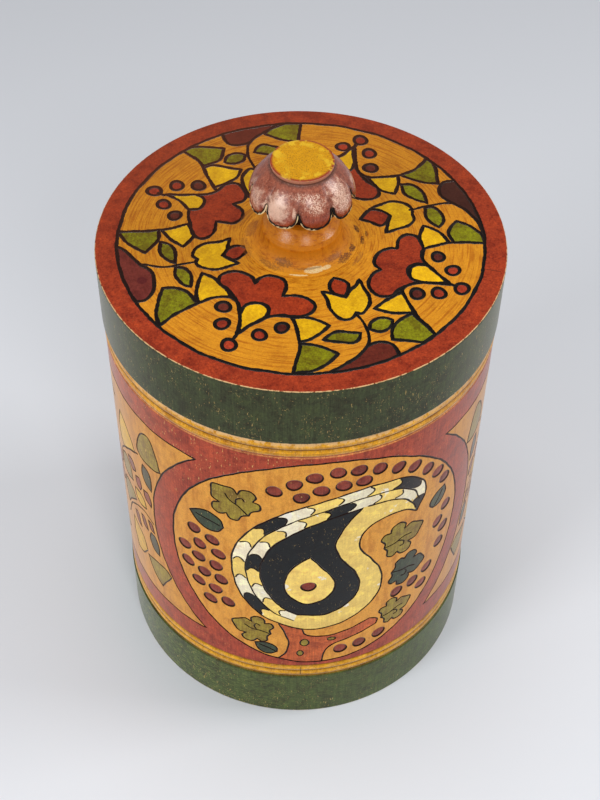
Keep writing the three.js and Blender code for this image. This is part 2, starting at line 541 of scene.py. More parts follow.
def bare_runs(corners, steps, count=COLUMNS):
    """Turned faces of bare wood between the corners of a profile, in so many steps each."""
    return [turned(straight(start, end, number), linear(RAW_WOOD), BARE, count)
            for start, end, number in zip(corners, corners[1:], steps)]


# Points of one piece that are this near are one point.

WELD = 1e-3


def piece(name, skins, body, node, material):
    """Joins skins into one closed mesh, merging points that coincide, and puts it in the frame."""
    offsets = np.cumsum([0] + [len(skin.points) for skin in skins])
    points = np.vstack([skin.points for skin in skins])
    corners = np.concatenate([(skin.faces + start).ravel() for skin, start in zip(skins, offsets)])
    sizes = np.concatenate([np.full(len(skin.faces), skin.faces.shape[1]) for skin in skins])
    normals, paints, marks = (
        np.concatenate([getattr(skin, part).reshape(-1, 3) for skin in skins])
        for part in ("normals", "paints", "marks"))
    _, first, same = np.unique(np.round(points / WELD).astype(int), axis=0,
                               return_index=True, return_inverse=True)
    points, corners = points[first], same.ravel()[corners]

    starts = np.cumsum(sizes) - sizes
    owner = np.repeat(np.arange(len(sizes)), sizes)
    following = np.arange(len(corners)) + 1
    following[starts + sizes - 1] = starts
    kept = corners != corners[following]
    sizes = np.bincount(owner[kept], minlength=len(sizes))
    kept &= sizes[owner] > 2
    sizes = sizes[sizes > 2]
    corners, normals, paints, marks = corners[kept], normals[kept], paints[kept], marks[kept]
    used, corners = np.unique(corners, return_inverse=True)
    points = points[used]

    mesh = bpy.data.meshes.new(name)
    mesh.vertices.add(len(points))
    mesh.vertices.foreach_set("co", (points * MM).ravel())
    mesh.loops.add(len(corners))
    mesh.loops.foreach_set("vertex_index", corners.ravel())
    mesh.polygons.add(len(sizes))
    mesh.polygons.foreach_set("loop_start", np.cumsum(sizes) - sizes)
    mesh.update(calc_edges=True)
    for title, values in (("paint", paints), ("marks", marks)):
        held = mesh.attributes.new(title, "FLOAT_COLOR", "CORNER")
        held.data.foreach_set("color", np.concatenate((values, np.ones((len(values), 1))), 1).ravel())
    mesh.shade_smooth()
    mesh.normals_split_custom_set(normals)
    mesh.materials.append(material)
    made = bpy.data.objects.new(name, mesh)
    bpy.context.scene.collection.objects.link(made)
    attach(made, body)
    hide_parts(node)
    return made


# The lid's face. Its drawing is in places (x, distance from the axis) along a spoke of the lid.

RIM_LINE_RADIUS = 62.4
PALMETTE = [
    (-12, 35.6, 1), (-15.5, 33.6), (-18, 30.8), (-17.6, 27.4), (-14.5, 25.5), (-10.5, 25.9),
    (-6.3, 27.8, 1), (-5.8, 24), (-3.6, 21), (-1, 20.4), (2.4, 21.5), (4.4, 24.2), (4.3, 26.6, 1),
    (7.2, 24.1), (11.5, 23.6), (15, 25.2), (16.6, 28.2), (15.2, 31.2), (11.6, 32.7), (8.6, 34.6),
    (5.6, 37.1), (3.4, 40.2, 1), (2.6, 36.4), (0.2, 34.3), (-2.4, 34), (-4.6, 35.6), (-5.5, 39, 1),
    (-8.3, 36.9)]
DROP = [
    (-0.8, 49.2, 1), (-2.6, 44.6), (-4.9, 41), (-5.4, 37.6), (-4, 34.7), (-1.6, 33.8), (1.2, 34.8),
    (2.9, 37.2), (2.6, 41), (1.1, 44.8)]
LEFT_ARC = [
    (-23.9, 57.8), (-22.6, 52.4), (-20.8, 46), (-18.1, 41.9), (-15.4, 37.8), (-13.2, 35.8),
    (-11.3, 35.5), (-8.5, 36.7), (-5.8, 39.2), (-3.1, 43.3), (-0.8, 49.2)]
RIGHT_ARC = [
    (24.1, 57.6), (21.9, 51), (18, 43.7), (14.9, 39.2), (11.2, 36.5), (8.3, 35.8), (5.5, 37.1),
    (3.3, 40.1), (1.5, 43.7), (0, 49.2)]
STALK = [(-0.4, 48.8), (-0.3, 52.3)]
YELLOW_LEFT = [
    (-19.9, 44.4, 1), (-22.6, 41.8), (-24.5, 38), (-25.7, 33.7, 1), (-21.5, 33.2), (-17.5, 33.3),
    (-13.2, 35.6, 1), (-15.4, 37.8), (-18.1, 41.9)]
YELLOW_RIGHT = [
    (8.4, 35.7, 1), (11.2, 36.5), (14.9, 39.2), (17.2, 42.4, 1), (20, 39), (21.4, 35),
    (22.3, 29.6, 1), (18, 30), (15, 31.5), (12, 32.9)]
GREEN_LEFT = [
    (-23.8, 57.3, 1), (-28.5, 54.2), (-31.3, 50.4), (-33.4, 43.9, 1), (-28, 43.2), (-24, 43.7),
    (-20.3, 45.1, 1), (-20.9, 46.3), (-22.6, 52.4)]
GREEN_RIGHT = [
    (24, 57.2, 1), (27.6, 52.5), (29.3, 47.4), (31, 41.3, 1), (27, 39.7), (22.8, 39.8),
    (17.4, 42.8, 1), (18.2, 44), (21.9, 51)]
CLUSTER_BERRIES = ((-0.1, 55.2), (-7.1, 47.1), (6.1, 47.6), (-12, 41), (9.0, 40.8))
BERRY_KINDS = ((3.1, LID_BERRY), (2.9, LID_BERRY), (3.0, LID_BERRY), (2.8, LID_PLUM), (3.0, LID_PLUM))

TULIP = [
    (-1.3, 39.4, 1), (-2.9, 40.6), (-5.2, 39.4), (-7.3, 37.3), (-8.3, 34), (-8.4, 30.8),
    (-8.7, 26.2, 1), (-6.6, 28.2), (-4.4, 29.3), (-1.3, 32, 1), (1.2, 29.2), (3, 27.4),
    (4.8, 26.2, 1), (5, 30.4), (5.9, 34.4), (5.6, 38), (4.2, 40.5), (1.9, 41.3), (-0.2, 40.5)]
BUD = [
    (-1.3, 31.6, 1), (-3.4, 29.1), (-4.7, 26.4), (-3.9, 23.9), (-1.7, 22, 1), (0.6, 23.8),
    (1.7, 26.6), (1, 29.3)]
STEM = [(-1, 40), (-1.3, 44.5), (-0.8, 48), (0.2, 51), (1.2, 53.1), (3.7, 55.2)]
HALF_DROP = [
    (-5.2, 62.2), (-5.7, 59.2), (-5.1, 56.4), (-2.7, 54.6), (-0.2, 54.1), (2.2, 54.3), (4.2, 55.6),
    (6.8, 57), (10.6, 58.2), (14.5, 59), (18.2, 59.6)]
SMALL_LEAF_LEFT = [
    (-10.2, 47.3, 1), (-8.6, 49.8), (-5.9, 50.7), (-3.6, 50.1), (-1.7, 48.1, 1), (-3.6, 45.6),
    (-6.7, 45), (-8.8, 45.8)]
SMALL_LEAF_RIGHT = [
    (1.8, 48.3, 1), (3.7, 50.6), (6.2, 51.3), (9.1, 49.3), (13.9, 46, 1), (10.6, 44.7),
    (7.8, 44.7), (4.8, 46.4)]

# What is cut in its own way on one group: the turn of its spoke, its lift and its own outlines.

LID_CLUSTERS = (
    (245.8, 0, {}),
    (336.5, 4.6, {
        "palmette": [
            (-12.5, 35.2, 1), (-15.6, 33), (-17.2, 30.6), (-16.9, 27.5), (-14.6, 26), (-12.2, 25.9),
            (-8.8, 27, 1), (-8.2, 24.6), (-6, 22.6), (-3.2, 21.8), (-0.4, 22.2), (1.8, 23.6), (3, 26, 1),
            (5.4, 24.4), (8.6, 24), (11.6, 24.9), (13.8, 26.9), (14.7, 29.4), (14.2, 31.6), (12.5, 33.7),
            (9.6, 34.8), (6.9, 36.1), (4.6, 38.2), (3.4, 40.4, 1), (2.6, 36.6), (0.2, 34.9), (-2.4, 34.6),
            (-4.4, 36), (-5.4, 39, 1), (-8.3, 36.6)],
        "left arc": [
            (-24.4, 58.6), (-23.3, 53), (-21.6, 47.2), (-18.9, 41.7), (-16.4, 38.7), (-12.5, 35.4),
            (-8.8, 36.1), (-5.8, 39.1), (-3.1, 43.7), (-0.1, 49.4)],
        "right arc": [
            (24, 58), (21.7, 51), (18.6, 45.6), (14.5, 40.9), (10.6, 37), (8.3, 35.9), (4.8, 37.9),
            (2.6, 42), (-0.1, 49.4)],
        "yellow left": [
            (-23.3, 30.8, 1), (-23, 35), (-22.3, 37.8), (-19.1, 41.9, 1), (-16.4, 38.7), (-12.5, 35.2, 1),
            (-17.6, 31.7)],
        "yellow right": [
            (20.7, 30.6, 1), (15.5, 32.8), (10, 36.2, 1), (14.5, 40.9), (17, 43, 1), (20.1, 37.4)],
        "green left": [
            (-30.6, 40.5, 1), (-30.2, 44.8), (-28.1, 49.6), (-24.1, 56.6, 1), (-23.3, 53), (-21.6, 47.2),
            (-19.9, 43.6, 1), (-23.2, 40.2), (-27, 39.9)],
        "berries": ((0, 56.6), (-6.7, 47.8), (5.2, 47.2), (-10.9, 41), (8.5, 41))}),
    (155.7, 3.6, {
        "palmette": [
            (-9.2, 34.4, 1), (-12.2, 32.3), (-14.9, 29.6), (-14.7, 26.5), (-10.5, 24.5), (-4.8, 26.2, 1),
            (-4, 23.2), (-3.2, 20.7), (-0.5, 19.5), (1.8, 19.6), (4.4, 21.2), (5.5, 25.2, 1), (8.5, 22.7),
            (11.5, 22.9), (13.9, 24.9), (15.9, 27.8), (15.7, 30.2), (13.8, 32.2), (11, 32.9), (8.6, 33.9),
            (6.2, 36), (4.5, 38.6, 1), (3.9, 36), (1.9, 34.5), (-1.3, 34.6), (-3.4, 37.6, 1), (-6.9, 36)],
        "drop": [
            (0.2, 48.8, 1), (-0.8, 42.9), (-2.1, 40.2), (-3.4, 37.6), (-1.3, 34.6), (1.9, 34.5), (3.9, 36),
            (4.5, 38.6), (3.1, 41.8), (1.9, 44.3)],
        "left arc": [(-24.2, 58.4), (-22.3, 51.4), (-20.6, 47.3), (-18.6, 44), (-16.8, 41.4)],
        "right arc": [
            (24.3, 58.8), (22.6, 51.4), (21.3, 46.6), (18.1, 42.8), (13.6, 38.6), (9.8, 34.1)],
        "yellow left": [
            (-16.8, 41, 1), (-13.6, 37.8), (-10.2, 34.8, 1), (-12.2, 32.3), (-14.9, 29.8, 1),
            (-21.2, 30.4, 1),
            (-20.1, 34.6), (-18.6, 37.9)],
        "yellow right": [
            (19, 43.3, 1), (21.5, 40.5), (22.7, 33.7), (23.6, 31, 1), (18.1, 30.5), (10.6, 34.9, 1),
            (13.6, 38.6), (18.1, 42.8)],
        "green left": [
            (-23.9, 57, 1), (-22.3, 51.4), (-20.6, 47.3), (-17.2, 41.9, 1), (-21.8, 39.9), (-29, 40.8, 1),
            (-28.2, 46.7), (-26, 52)],
        "green right": [
            (24.1, 58, 1), (27.6, 52), (31.4, 41.7, 1), (25, 40.3), (19.6, 43.8, 1), (21.3, 46.6),
            (22.6, 51.4)],
        "berries": ((-0.1, 55.2), (-4.9, 47), (6.1, 47.3), (-8.5, 40.7), (9.1, 40.7))}),
    (68.6, 3.0, {
        "right arc": [
            (25.9, 57.8), (25.1, 50.4), (23.2, 45.4), (19.9, 41.2), (15.5, 38.1), (9.5, 35.9), (5.4, 37.7),
            (2.6, 42.4), (0.4, 48.6)],
        "yellow right": [
            (9.8, 35.5, 1), (15.5, 38.1), (19.3, 40.8, 1), (21.1, 37.2), (21.6, 31.1, 1), (16.7, 30.8),
            (13.3, 32.6)],
        "green right": [
            (25.9, 57.2, 1), (30, 50.8), (34, 42.1, 1), (28.4, 40.5), (20.1, 41.3, 1), (23.2, 45.4),
            (25.1, 50.4)],
        "berries": ((0.2, 55.7), (-4.3, 48.2), (5.8, 48.3), (-9, 42), (9, 40.9))}))
LID_TULIPS = (
    (295.8, 0, {}),
    (21.2, 0, {
        "tulip": [
            (1.6, 40.4, 1), (-0.6, 41.4), (-3, 41), (-5.6, 38.8), (-7.2, 35), (-6.2, 28.2, 1), (-3.7, 31.1),
            (-0.4, 32.9, 1), (2.4, 31.4), (7.2, 28.1, 1), (6.8, 32.3), (6.5, 36.4), (4.6, 39.6)],
        "bud": [
            (2.6, 30.6), (0, 33, 1), (-3.7, 31), (-5.4, 27.3), (-2.1, 22.5, 1), (0.4, 25.2), (3.3, 27.7)],
        "left leaf": [
            (-14.3, 43.2, 1), (-12.9, 46.5), (-8.4, 48.4), (-2.2, 48, 1), (-4.8, 44.6), (-9.2, 42.3)],
        "right leaf": [
            (0, 46.2, 1), (0.6, 48.8), (4.4, 50.2), (8.8, 49.2), (11, 46.4, 1), (7.8, 44.8), (3.7, 44.6)],
        "stem": [(-0.7, 40.4), (-0.6, 42.8), (-0.6, 47.7), (-0.1, 52.4), (1.2, 55.8)],
        "shade": (58, 28, 22),
        "half drop": [
            (-9.9, 61.6), (-10.1, 57.8), (-7.9, 54.7), (-4.5, 53.8), (-1.2, 54.6), (2.2, 56.6),
            (6.5, 58.9), (13, 60), (19.8, 59.2)]}),
    (195.7, -3, {
        "tulip": [
            (-1.2, 39.2, 1), (0.9, 40.5), (4.2, 38.6), (5.7, 34.6), (5.4, 29.5), (6.2, 26.3, 1),
            (0.9, 28.6),
            (-1.7, 31, 1), (-3.7, 29.3), (-6.5, 26.3, 1), (-7.5, 31.1), (-7.6, 35.4), (-5.2, 39.2),
            (-2.9, 40)],
        "bud": [
            (-2, 30.4), (1, 28.2), (1.6, 24.6), (-0.3, 21.2, 1), (-3.4, 24.2), (-4.6, 27.6)],
        "left leaf": [
            (-3.2, 47.3, 1), (-4.7, 44.1), (-9.1, 43.1), (-13.8, 44.4, 1), (-11.8, 46.7), (-7.3, 48.2)],
        "right leaf": [(10.4, 49.4, 1), (8, 46.8), (3.7, 45.7), (-1.2, 47.1, 1), (0.9, 49.4), (5, 50.8)],
        "stem": [(-2.4, 40.6), (-2.2, 44.3), (-2.5, 48.7), (-1.7, 52.2), (0.3, 55.1), (0.7, 56.2)],
        "shade": (112, 44, 38),
        "half drop": [
            (-15.9, 60), (-15.7, 56.8), (-13.2, 54.1), (-9.4, 52.5), (-4.8, 52.2), (-1.7, 53.3),
            (0.6, 55.2), (5.2, 57.2), (9.5, 59.5), (11.4, 61.4)]}),
    (113, 0, {}))


def spoke(degrees, lift=0.0):
    """Places (x, distance) along a spoke of the lid at an angle. Lift moves what lies inside a
    distance of 50 outwards, and less of it further out, so that tips still meet the rim line."""
    turn = math.radians(degrees)

    def place(points):
        x, distance = points.T
        distance = distance + lift * np.clip((60 - distance) / 10, 0, 1)
        return np.stack((x * math.sin(turn) + distance * math.cos(turn),
                         distance * math.sin(turn) - x * math.cos(turn)), -1)
    return place


def within_rim(points):
    """A line whose places beyond the rim line are brought in just short of it."""
    far = np.linalg.norm(points, axis=1)[:, None]
    short = 0.2
    return points * np.minimum(1, (RIM_LINE_RADIUS - short) / far)


def lid_cluster(pattern, degrees, lift, own):
    """A palmette with a drop under it, two arcs out to the rim, leaves beside them and berries."""
    place = spoke(degrees, lift)
    for title, usual, colour in (
            ("palmette", PALMETTE, BRICK), ("drop", DROP, YELLOW), ("yellow left", YELLOW_LEFT, YELLOW),
            ("yellow right", YELLOW_RIGHT, YELLOW), ("green left", GREEN_LEFT, LEAF_GREEN),
            ("green right", GREEN_RIGHT, LEAF_GREEN)):
        pattern.shape(within_rim(place(trace(own.get(title, usual)))), colour)
    for line in (own.get("left arc", LEFT_ARC), own.get("right arc", RIGHT_ARC), STALK):
        pattern.cut(within_rim(place(trace(line, False))))
    for spot, (radius, colour) in zip(own.get("berries", CLUSTER_BERRIES), BERRY_KINDS):
        pattern.berry(place(np.array([spot]))[0], radius, colour)


def lid_tulip(pattern, degrees, lift, own):
    """A tulip with its bud, on a stem that runs into a long half drop against the rim line."""
    place = spoke(degrees, lift)
    half_drop = trace(own.get("half drop", HALF_DROP), False)
    held = spoke(degrees)
    ends = held(half_drop[[0, -1]])
    turns = np.unwrap(np.arctan2(ends[:, 1], ends[:, 0]))
    rim = towards(np.linspace(turns[1], turns[0], 24)) * RIM_LINE_RADIUS
    thin = 0.4
    pattern.area(np.vstack((held(half_drop), rim)), own.get("shade", PLUM_BROWN), thin)
    pattern.cut(held(half_drop))
    pattern.shape(place(trace(own.get("tulip", TULIP))), YELLOW)
    pattern.shape(place(trace(own.get("bud", BUD))), BRICK)
    pattern.cut(place(trace(own.get("stem", STEM), False)), width=0.8)
    for title, usual in (("left leaf", SMALL_LEAF_LEFT), ("right leaf", SMALL_LEAF_RIGHT)):
        pattern.shape(place(trace(own.get(title, usual))), LEAF_GREEN)


def lid_face():
    """The lid's face, from the knob's socket out to the arris, with its red rim."""
    pattern = Pattern(line_width=1.35, line_depth=0.4, line_colour=LID_LINE,
                      berry_rings=(1.0, 0.78, 0.56, 0.25), berry_depths=(0, 0.4, 0.1, 0.05),
                      berry_core=0.58)
    outer = LID_RADIUS - LID_ARRIS
    edge = ring((0, 0), outer, COLUMNS)
    hole = ring((0, 0), SOCKET_RADIUS, SOCKET_COLUMNS)
    rim = ring((0, 0), RIM_LINE_RADIUS, 480)
    pattern.area(rim, LID_WOOD, 1.0)
    for cluster in LID_CLUSTERS:
        lid_cluster(pattern, *cluster)
    for tulip in LID_TULIPS:
        lid_tulip(pattern, *tulip)
    pattern.cut(rim, True, 0.95)

    def domain(points):
        return inside(points, edge) & ~inside(points, hole)

    spacing = 3.5
    filler = np.vstack([ring((0, 0), radius, int(2 * np.pi * radius / spacing))
                        for radius in np.arange(9, outer, spacing)])
    flat = relief(pattern, [(edge, True), (hole, True)], domain, filler, LID_RED, seed=11)
    return laid_on_top(flat)


def painted_lid(material):
    """A deep cap, hollow below, with a worn arris round its face and a green side."""
    green, red = linear(LID_GREEN), linear(LID_RED)
    wear = [(0, 0, share) for share in (0, 0.1, 0.6, 1, 1, 0.6, 0.1, 0)]
    side = straight((LID_RADIUS, LID_BOTTOM + LID_ARRIS), (LID_RADIUS, LID_TOP - LID_ARRIS), 10)
    skins = [
        lid_face(),
        *bare_runs([(LID_INNER_RADIUS, LID_BOTTOM), (LID_RADIUS - LID_ARRIS, LID_BOTTOM)], (1,)),
        turned(rounded_edge(LID_RADIUS, LID_BOTTOM, LID_ARRIS, 4, -1), green, (0, 0, 0.5)),
        turned(side, green),
        turned(rounded_edge(LID_RADIUS, LID_TOP, LID_ARRIS, 8), [green] * 4 + [red] * 4, wear),
        *bare_runs([(SOCKET_RADIUS, LID_TOP), (SOCKET_RADIUS, SOCKET_Z), (0, SOCKET_Z)], (1, 1),
                   SOCKET_COLUMNS),
        *bare_runs([(0, LID_CEILING), (LID_INNER_RADIUS, LID_CEILING), (LID_INNER_RADIUS, LID_BOTTOM)],
                   (8, 4))]
    return piece("painted_lid", skins, "cover", "lid", material)


# The jar's wall. Its drawing is in places (way round from the front, height).

LAP = 2 * math.pi * BODY_RADIUS
DEGREE = LAP / COLUMNS
FIELD_BOTTOM = 35.0
FIELD_TOP = 162.5
MEDALLION_X = 10.1
MEDALLION_Z = 98.5
MEDALLION_RADII = (59.2, 61.7)
PANEL_HALF_HEIGHT = 52.5
PANEL_ARC_RADIUS = 70.0
SEAM_RADIUS = 65.5
SEAM_TURNS_UP = 53.0
QUARTER = LAP / 4

PANEL_MOTIFS = (
    (OLIVE, [(45.5, 31, 1), (44.4, 36), (42.6, 42), (40.4, 45.8), (37.4, 45.4), (34.2, 41.6), (32, 36),
             (31.8, 31.6), (34.4, 29.2), (38.7, 28.9), (42.6, 29.6)]),
    (YELLOW, [(17.5, 38.5, 1), (23, 35.6), (27, 31.6), (29.4, 26.9, 1), (24, 23.6), (18, 19), (14.6, 23),
              (14.6, 31)]),
    (TEAL, [(34.6, 25.6, 1), (37.9, 24.6), (39.3, 20), (38.9, 13.8, 1), (35.6, 15.6), (33.5, 20)]),
    (OLIVE, [(14.4, 12.2, 1), (19, 15.2), (23, 12), (24.4, 5.5, 1), (20, 3.6), (15.2, 3.2, 1), (14, 7.6)]),
    (BODY_BERRY, [(21.4, 17.8, 1), (25.8, 19), (27.8, 15.2), (25.4, 13, 1), (23, 14.6)]),
    (BRICK, [(27.4, 11.8, 1), (30.4, 13.4), (31.4, 9.4), (30.4, 6.2, 1), (27.8, 8)]),
    (BODY_BERRY, [(32.8, 9.4, 1), (36.2, 10), (37.7, 6.8), (37.4, 3.2, 1), (34, 4.8)]),
    (YELLOW, [(25.6, 3.2, 1), (29.8, 4.2), (32.8, 2), (34, -1.6, 1), (29.6, -3.2), (26.2, -1.2)]),
    (OLIVE, [(14, -2.6, 1), (19, -0.6), (23.4, -1.6, 1), (25.4, -5, 1), (20.2, -10.4), (15.4, -17.4, 1),
             (13.4, -10)]),
    (BODY_BERRY, [(23, -13.6, 1), (25.8, -12.8), (27.8, -19.4, 1), (25, -18.6)]),
    (BODY_BERRY, [(28.6, -9.6, 1), (31.4, -9.4), (33.2, -15.6, 1), (30.4, -14.8)]),
    (BODY_BERRY, [(34.3, -8, 1), (36.9, -8.2), (37.9, -13, 1), (35.7, -12.4)]),
    (YELLOW, [(20.2, -20.6, 1), (24.4, -22.6), (28.6, -25.2), (31, -31.4, 1), (26.6, -37), (22.2, -38.4, 1),
              (19.2, -30)]),
    (TEAL, [(35.4, -14.6, 1), (38.5, -15.2), (40, -19.6), (39.9, -25.2, 1), (36, -23.8), (34.2, -19)]),
    (OLIVE, [(31.2, -33.2, 1), (37.8, -31.1), (43.1, -30.6), (46.1, -33, 1), (43.4, -38.5), (40, -45, 1),
             (34.8, -41)]))
PANEL_LINES = (
    [(31.6, 28.4), (26, 25.2), (20, 20.4), (15.5, 15.8), (12.8, 10.8), (12.6, 3)],
    [(14.4, -24.6), (19, -14.8), (26.4, -7.6), (32.6, -5), (38.3, -6.6)])
ROSETTE = [
    (0, 17.5), (4.5, 15.5), (6, 11), (5, 8, 1), (8.5, 9.5), (12, 7.5), (12.5, 4.8, 1), (10.5, 2),
    (9.8, 0)]


def mirrored(knots, across, up):
    """Knots turned over left to right or top to bottom: across and up are 1 or -1."""
    return [(knot[0] * across, knot[1] * up, *knot[2:]) for knot in knots]


def set_down(x, y, degrees=0, size=1):
    """Places that are measured from a point, grown by a size and turned by an angle from upright."""
    turn = math.radians(degrees)

    def place(points):
        across, up = points.T * size
        return np.stack((x + across * math.cos(turn) - up * math.sin(turn),
                         y + across * math.sin(turn) + up * math.cos(turn)), -1)
    return place


def panel_tulip(pattern, place, up):
    """The lid's tulip, smaller, growing in from a panel's top or bottom edge."""
    share = 0.8

    def grown(knots):
        return [(x * share, (PANEL_HALF_HEIGHT - (RIM_LINE_RADIUS - out) * share) * up, *corner)
                for x, out, *corner in knots]
    pattern.shape(place(trace(grown(TULIP))), YELLOW)
    pattern.shape(place(trace(grown(BUD))), BRICK)
    pattern.cut(place(trace(grown(STEM[:-1] + [(2.4, 61.9)]), False)))
    for leaf in (SMALL_LEAF_LEFT, SMALL_LEAF_RIGHT):
        pattern.shape(place(trace(grown(leaf))), OLIVE)


def side_panel(pattern, x):
    """A panel between two medallions. Its sides are arcs round them, and its motifs are drawn on
    both halves."""
    place = set_down(x, MEDALLION_Z)
    points = 120
    rise = np.linspace(-PANEL_HALF_HEIGHT, PANEL_HALF_HEIGHT, points)
    hollow = QUARTER - np.sqrt(PANEL_ARC_RADIUS ** 2 - rise ** 2)
    right = np.stack((hollow, rise), -1)
    across = np.linspace(hollow[-1], -hollow[-1], points)[1:-1]
    top = np.stack((across, np.full(len(across), PANEL_HALF_HEIGHT)), -1)
    outline = np.vstack((right, top, right[::-1] * (-1, 1), top[::-1] * (1, -1)))
    pattern.shape(place(outline), BODY_WOOD, 1.0)
    for up in (1, -1):
        panel_tulip(pattern, place, up)
    for side in (1, -1):
        for colour, motif in PANEL_MOTIFS:
            pattern.shape(place(trace(mirrored(motif, side, 1))), colour)
        for line in PANEL_LINES:
            pattern.cut(place(trace(mirrored(line, side, 1), False)))
    quarters = [mirrored(ROSETTE, 1, 1), mirrored(ROSETTE, 1, -1)[::-1],
                mirrored(ROSETTE, -1, -1), mirrored(ROSETTE, -1, 1)[::-1]]
    knots = [knot for quarter in quarters for knot in quarter[:-1]]
    pattern.shape(place(trace(knots)), BRICK)


# The medallion's own design: a large curled leaf drop with a scaled back on a forked stem, among
# leaves and berries. The drop's back and the hollow side of its scaled band are matched knot by knot.
# A leaf is given by its foot, its turn from upright, its size and its colour.

DROP_BACK = [
    (-12, -36.5), (-23, -30), (-31, -18), (-34, -3), (-32, 11.5), (-24.5, 25), (-12.5, 35.5),
    (2, 42), (16.5, 44.5), (29.5, 42), (37.5, 34.5), (39, 26), (36, 18.5)]
DROP_BAND = [
    (-9.5, -28), (-16, -22.5), (-21, -13.5), (-23.2, -3), (-21.8, 7.5), (-16.5, 17.5), (-8, 25.5),
    (2.5, 31), (13, 33.8), (22.5, 33), (29.5, 29.8), (33.5, 24.5), (36, 18.5)]
DROP_BELLY = [
    (36, 18.5, 1), (29, 23.5), (20, 23.5), (13.5, 18), (13, 10), (17.5, 1.5), (22, -8), (22.5, -19),
    (17.5, -29), (7.5, -36), (-3, -38.2), (-12, -36.5, 1)]
DROP_CORE = [
    (-9.5, -28, 1), (-16, -22.5), (-21, -13.5), (-23.2, -3), (-21.8, 7.5), (-16.5, 17.5), (-8, 25.5),
    (2.5, 31), (13, 33.8, 1), (7, 25), (3.8, 15.5), (6, 6.5), (11.5, -4), (13.5, -14), (10, -23),
    (1, -28.5)]
DROP_EYE = [
    (-7, -20.5), (-0.5, -19), (4, -13), (3.4, -5.5), (-1, 2), (-5.2, 9, 1), (-10.5, 3.5), (-14, -4),
    (-13.6, -13.5)]
DROP_TIP = [(33.2, 25.2, 1), (36, 26.6), (39, 26, 1), (38, 21.9), (36, 18.5, 1), (34.9, 21.2)]
HOLLOW_EDGE = [(15, 33.9), (22.5, 33), (29.5, 29.8), (33.5, 24.5), (35.1, 20.8)]
FORKED_STEM = [
    (-16.6, -59.1, 1), (-13.5, -54), (-12.5, -47), (-14.2, -40.5), (-16.5, -34.5, 1), (-7.5, -38, 1),
    (-6, -42), (0.5, -43.8), (9, -42.2), (19, -38.5, 1), (22.5, -41), (22, -44, 1), (13, -47.5),
    (5, -50), (1.4, -54), (0.5, -61.2, 1), (-8, -61.4)]
STEM_KNOTS = ((-6.5, -47.5, 1.6, 2.4), (-8, -55, 1.3, 1.9), (4, -46.2, 1.7, 1.1))
LOBED_LEAF = [
    (0, 0, 1), (-3.2, 1.2), (-7, 0.2), (-9.6, 2.6), (-8.4, 5.6, 1), (-12, 7), (-12.6, 11),
    (-9.4, 13.4), (-6, 12.2, 1), (-6.8, 16.4), (-3.6, 19.6), (0, 22), (3.6, 19.6), (6.8, 16.4),
    (6, 12.2, 1), (9.4, 13.4), (12.6, 11), (12, 7), (8.4, 5.6, 1), (9.6, 2.6), (7, 0.2), (3.2, 1.2)]
LOBED_VEINS = (
    [(0, 1), (0.5, 6), (-0.2, 11), (1.2, 15)], [(0.3, 8), (3.0, 10.2), (5.6, 9.6), (5.2, 7.6)])
PLAIN_LEAF = [(0, 0, 1), (-5, 2.2), (-7.4, 7), (-6, 13), (0, 19, 1), (5.2, 13.5), (6.6, 8), (4.6, 2.6)]
PLAIN_VEINS = ([(0, 2), (0.4, 8), (0, 15)],)
LOBED_LEAVES = (
    (-19.5, -42.6, 74, 0.72, OLIVE), (22.5, 4.5, -76, 0.8, OLIVE), (27, -13.5, -103, 0.74, TEAL),
    (24.2, -41.5, -72, 0.64, OLIVE), (-27, 30.5, 46, 0.82, OLIVE))
PLAIN_LEAVES = (
    (-17.2, -54.4, 62, 0.5, TEAL), (-36.5, 19.5, 80, 0.74, TEAL), (44.6, 12.5, -30, 0.55, TEAL))
MEDALLION_BERRIES = (
    (-18, 46.4), (-11.3, 50.6), (-4.2, 54), (3.4, 55.6), (11, 55.2), (18.4, 52.9), (-8.9, 43.4),
    (-1.8, 46.8), (5.6, 48.4), (13, 48.5), (25.6, 49.9), (32.6, 45.6), (39.2, 39.9), (44.8, 33.4),
    (49, 26.8), (-41.5, 9.5), (-49, 11.5), (-39.2, 1.8), (-46.8, 3.6), (-53.8, -1.6), (-40.4, -6),
    (-47.6, -5), (-38.5, -13.8), (-45.6, -13.2), (-52.8, -11.4), (-41.2, -21.5), (-48.4, -20.6),
    (-43.4, -29.2), (-36.2, -27), (30.2, -28.2), (37.6, -27.2), (45, -24.6), (42.6, -33.4),
    (23.4, -51.4), (15.2, -53.4), (7.6, -54.6), (50.8, -14), (52.4, -5.8), (48.4, 0.8), (52.4, 7.8),
    (-5.5, -9.5))
# Share of a cut's usual width, for veins and the lines within the drop.
FINE = 0.85


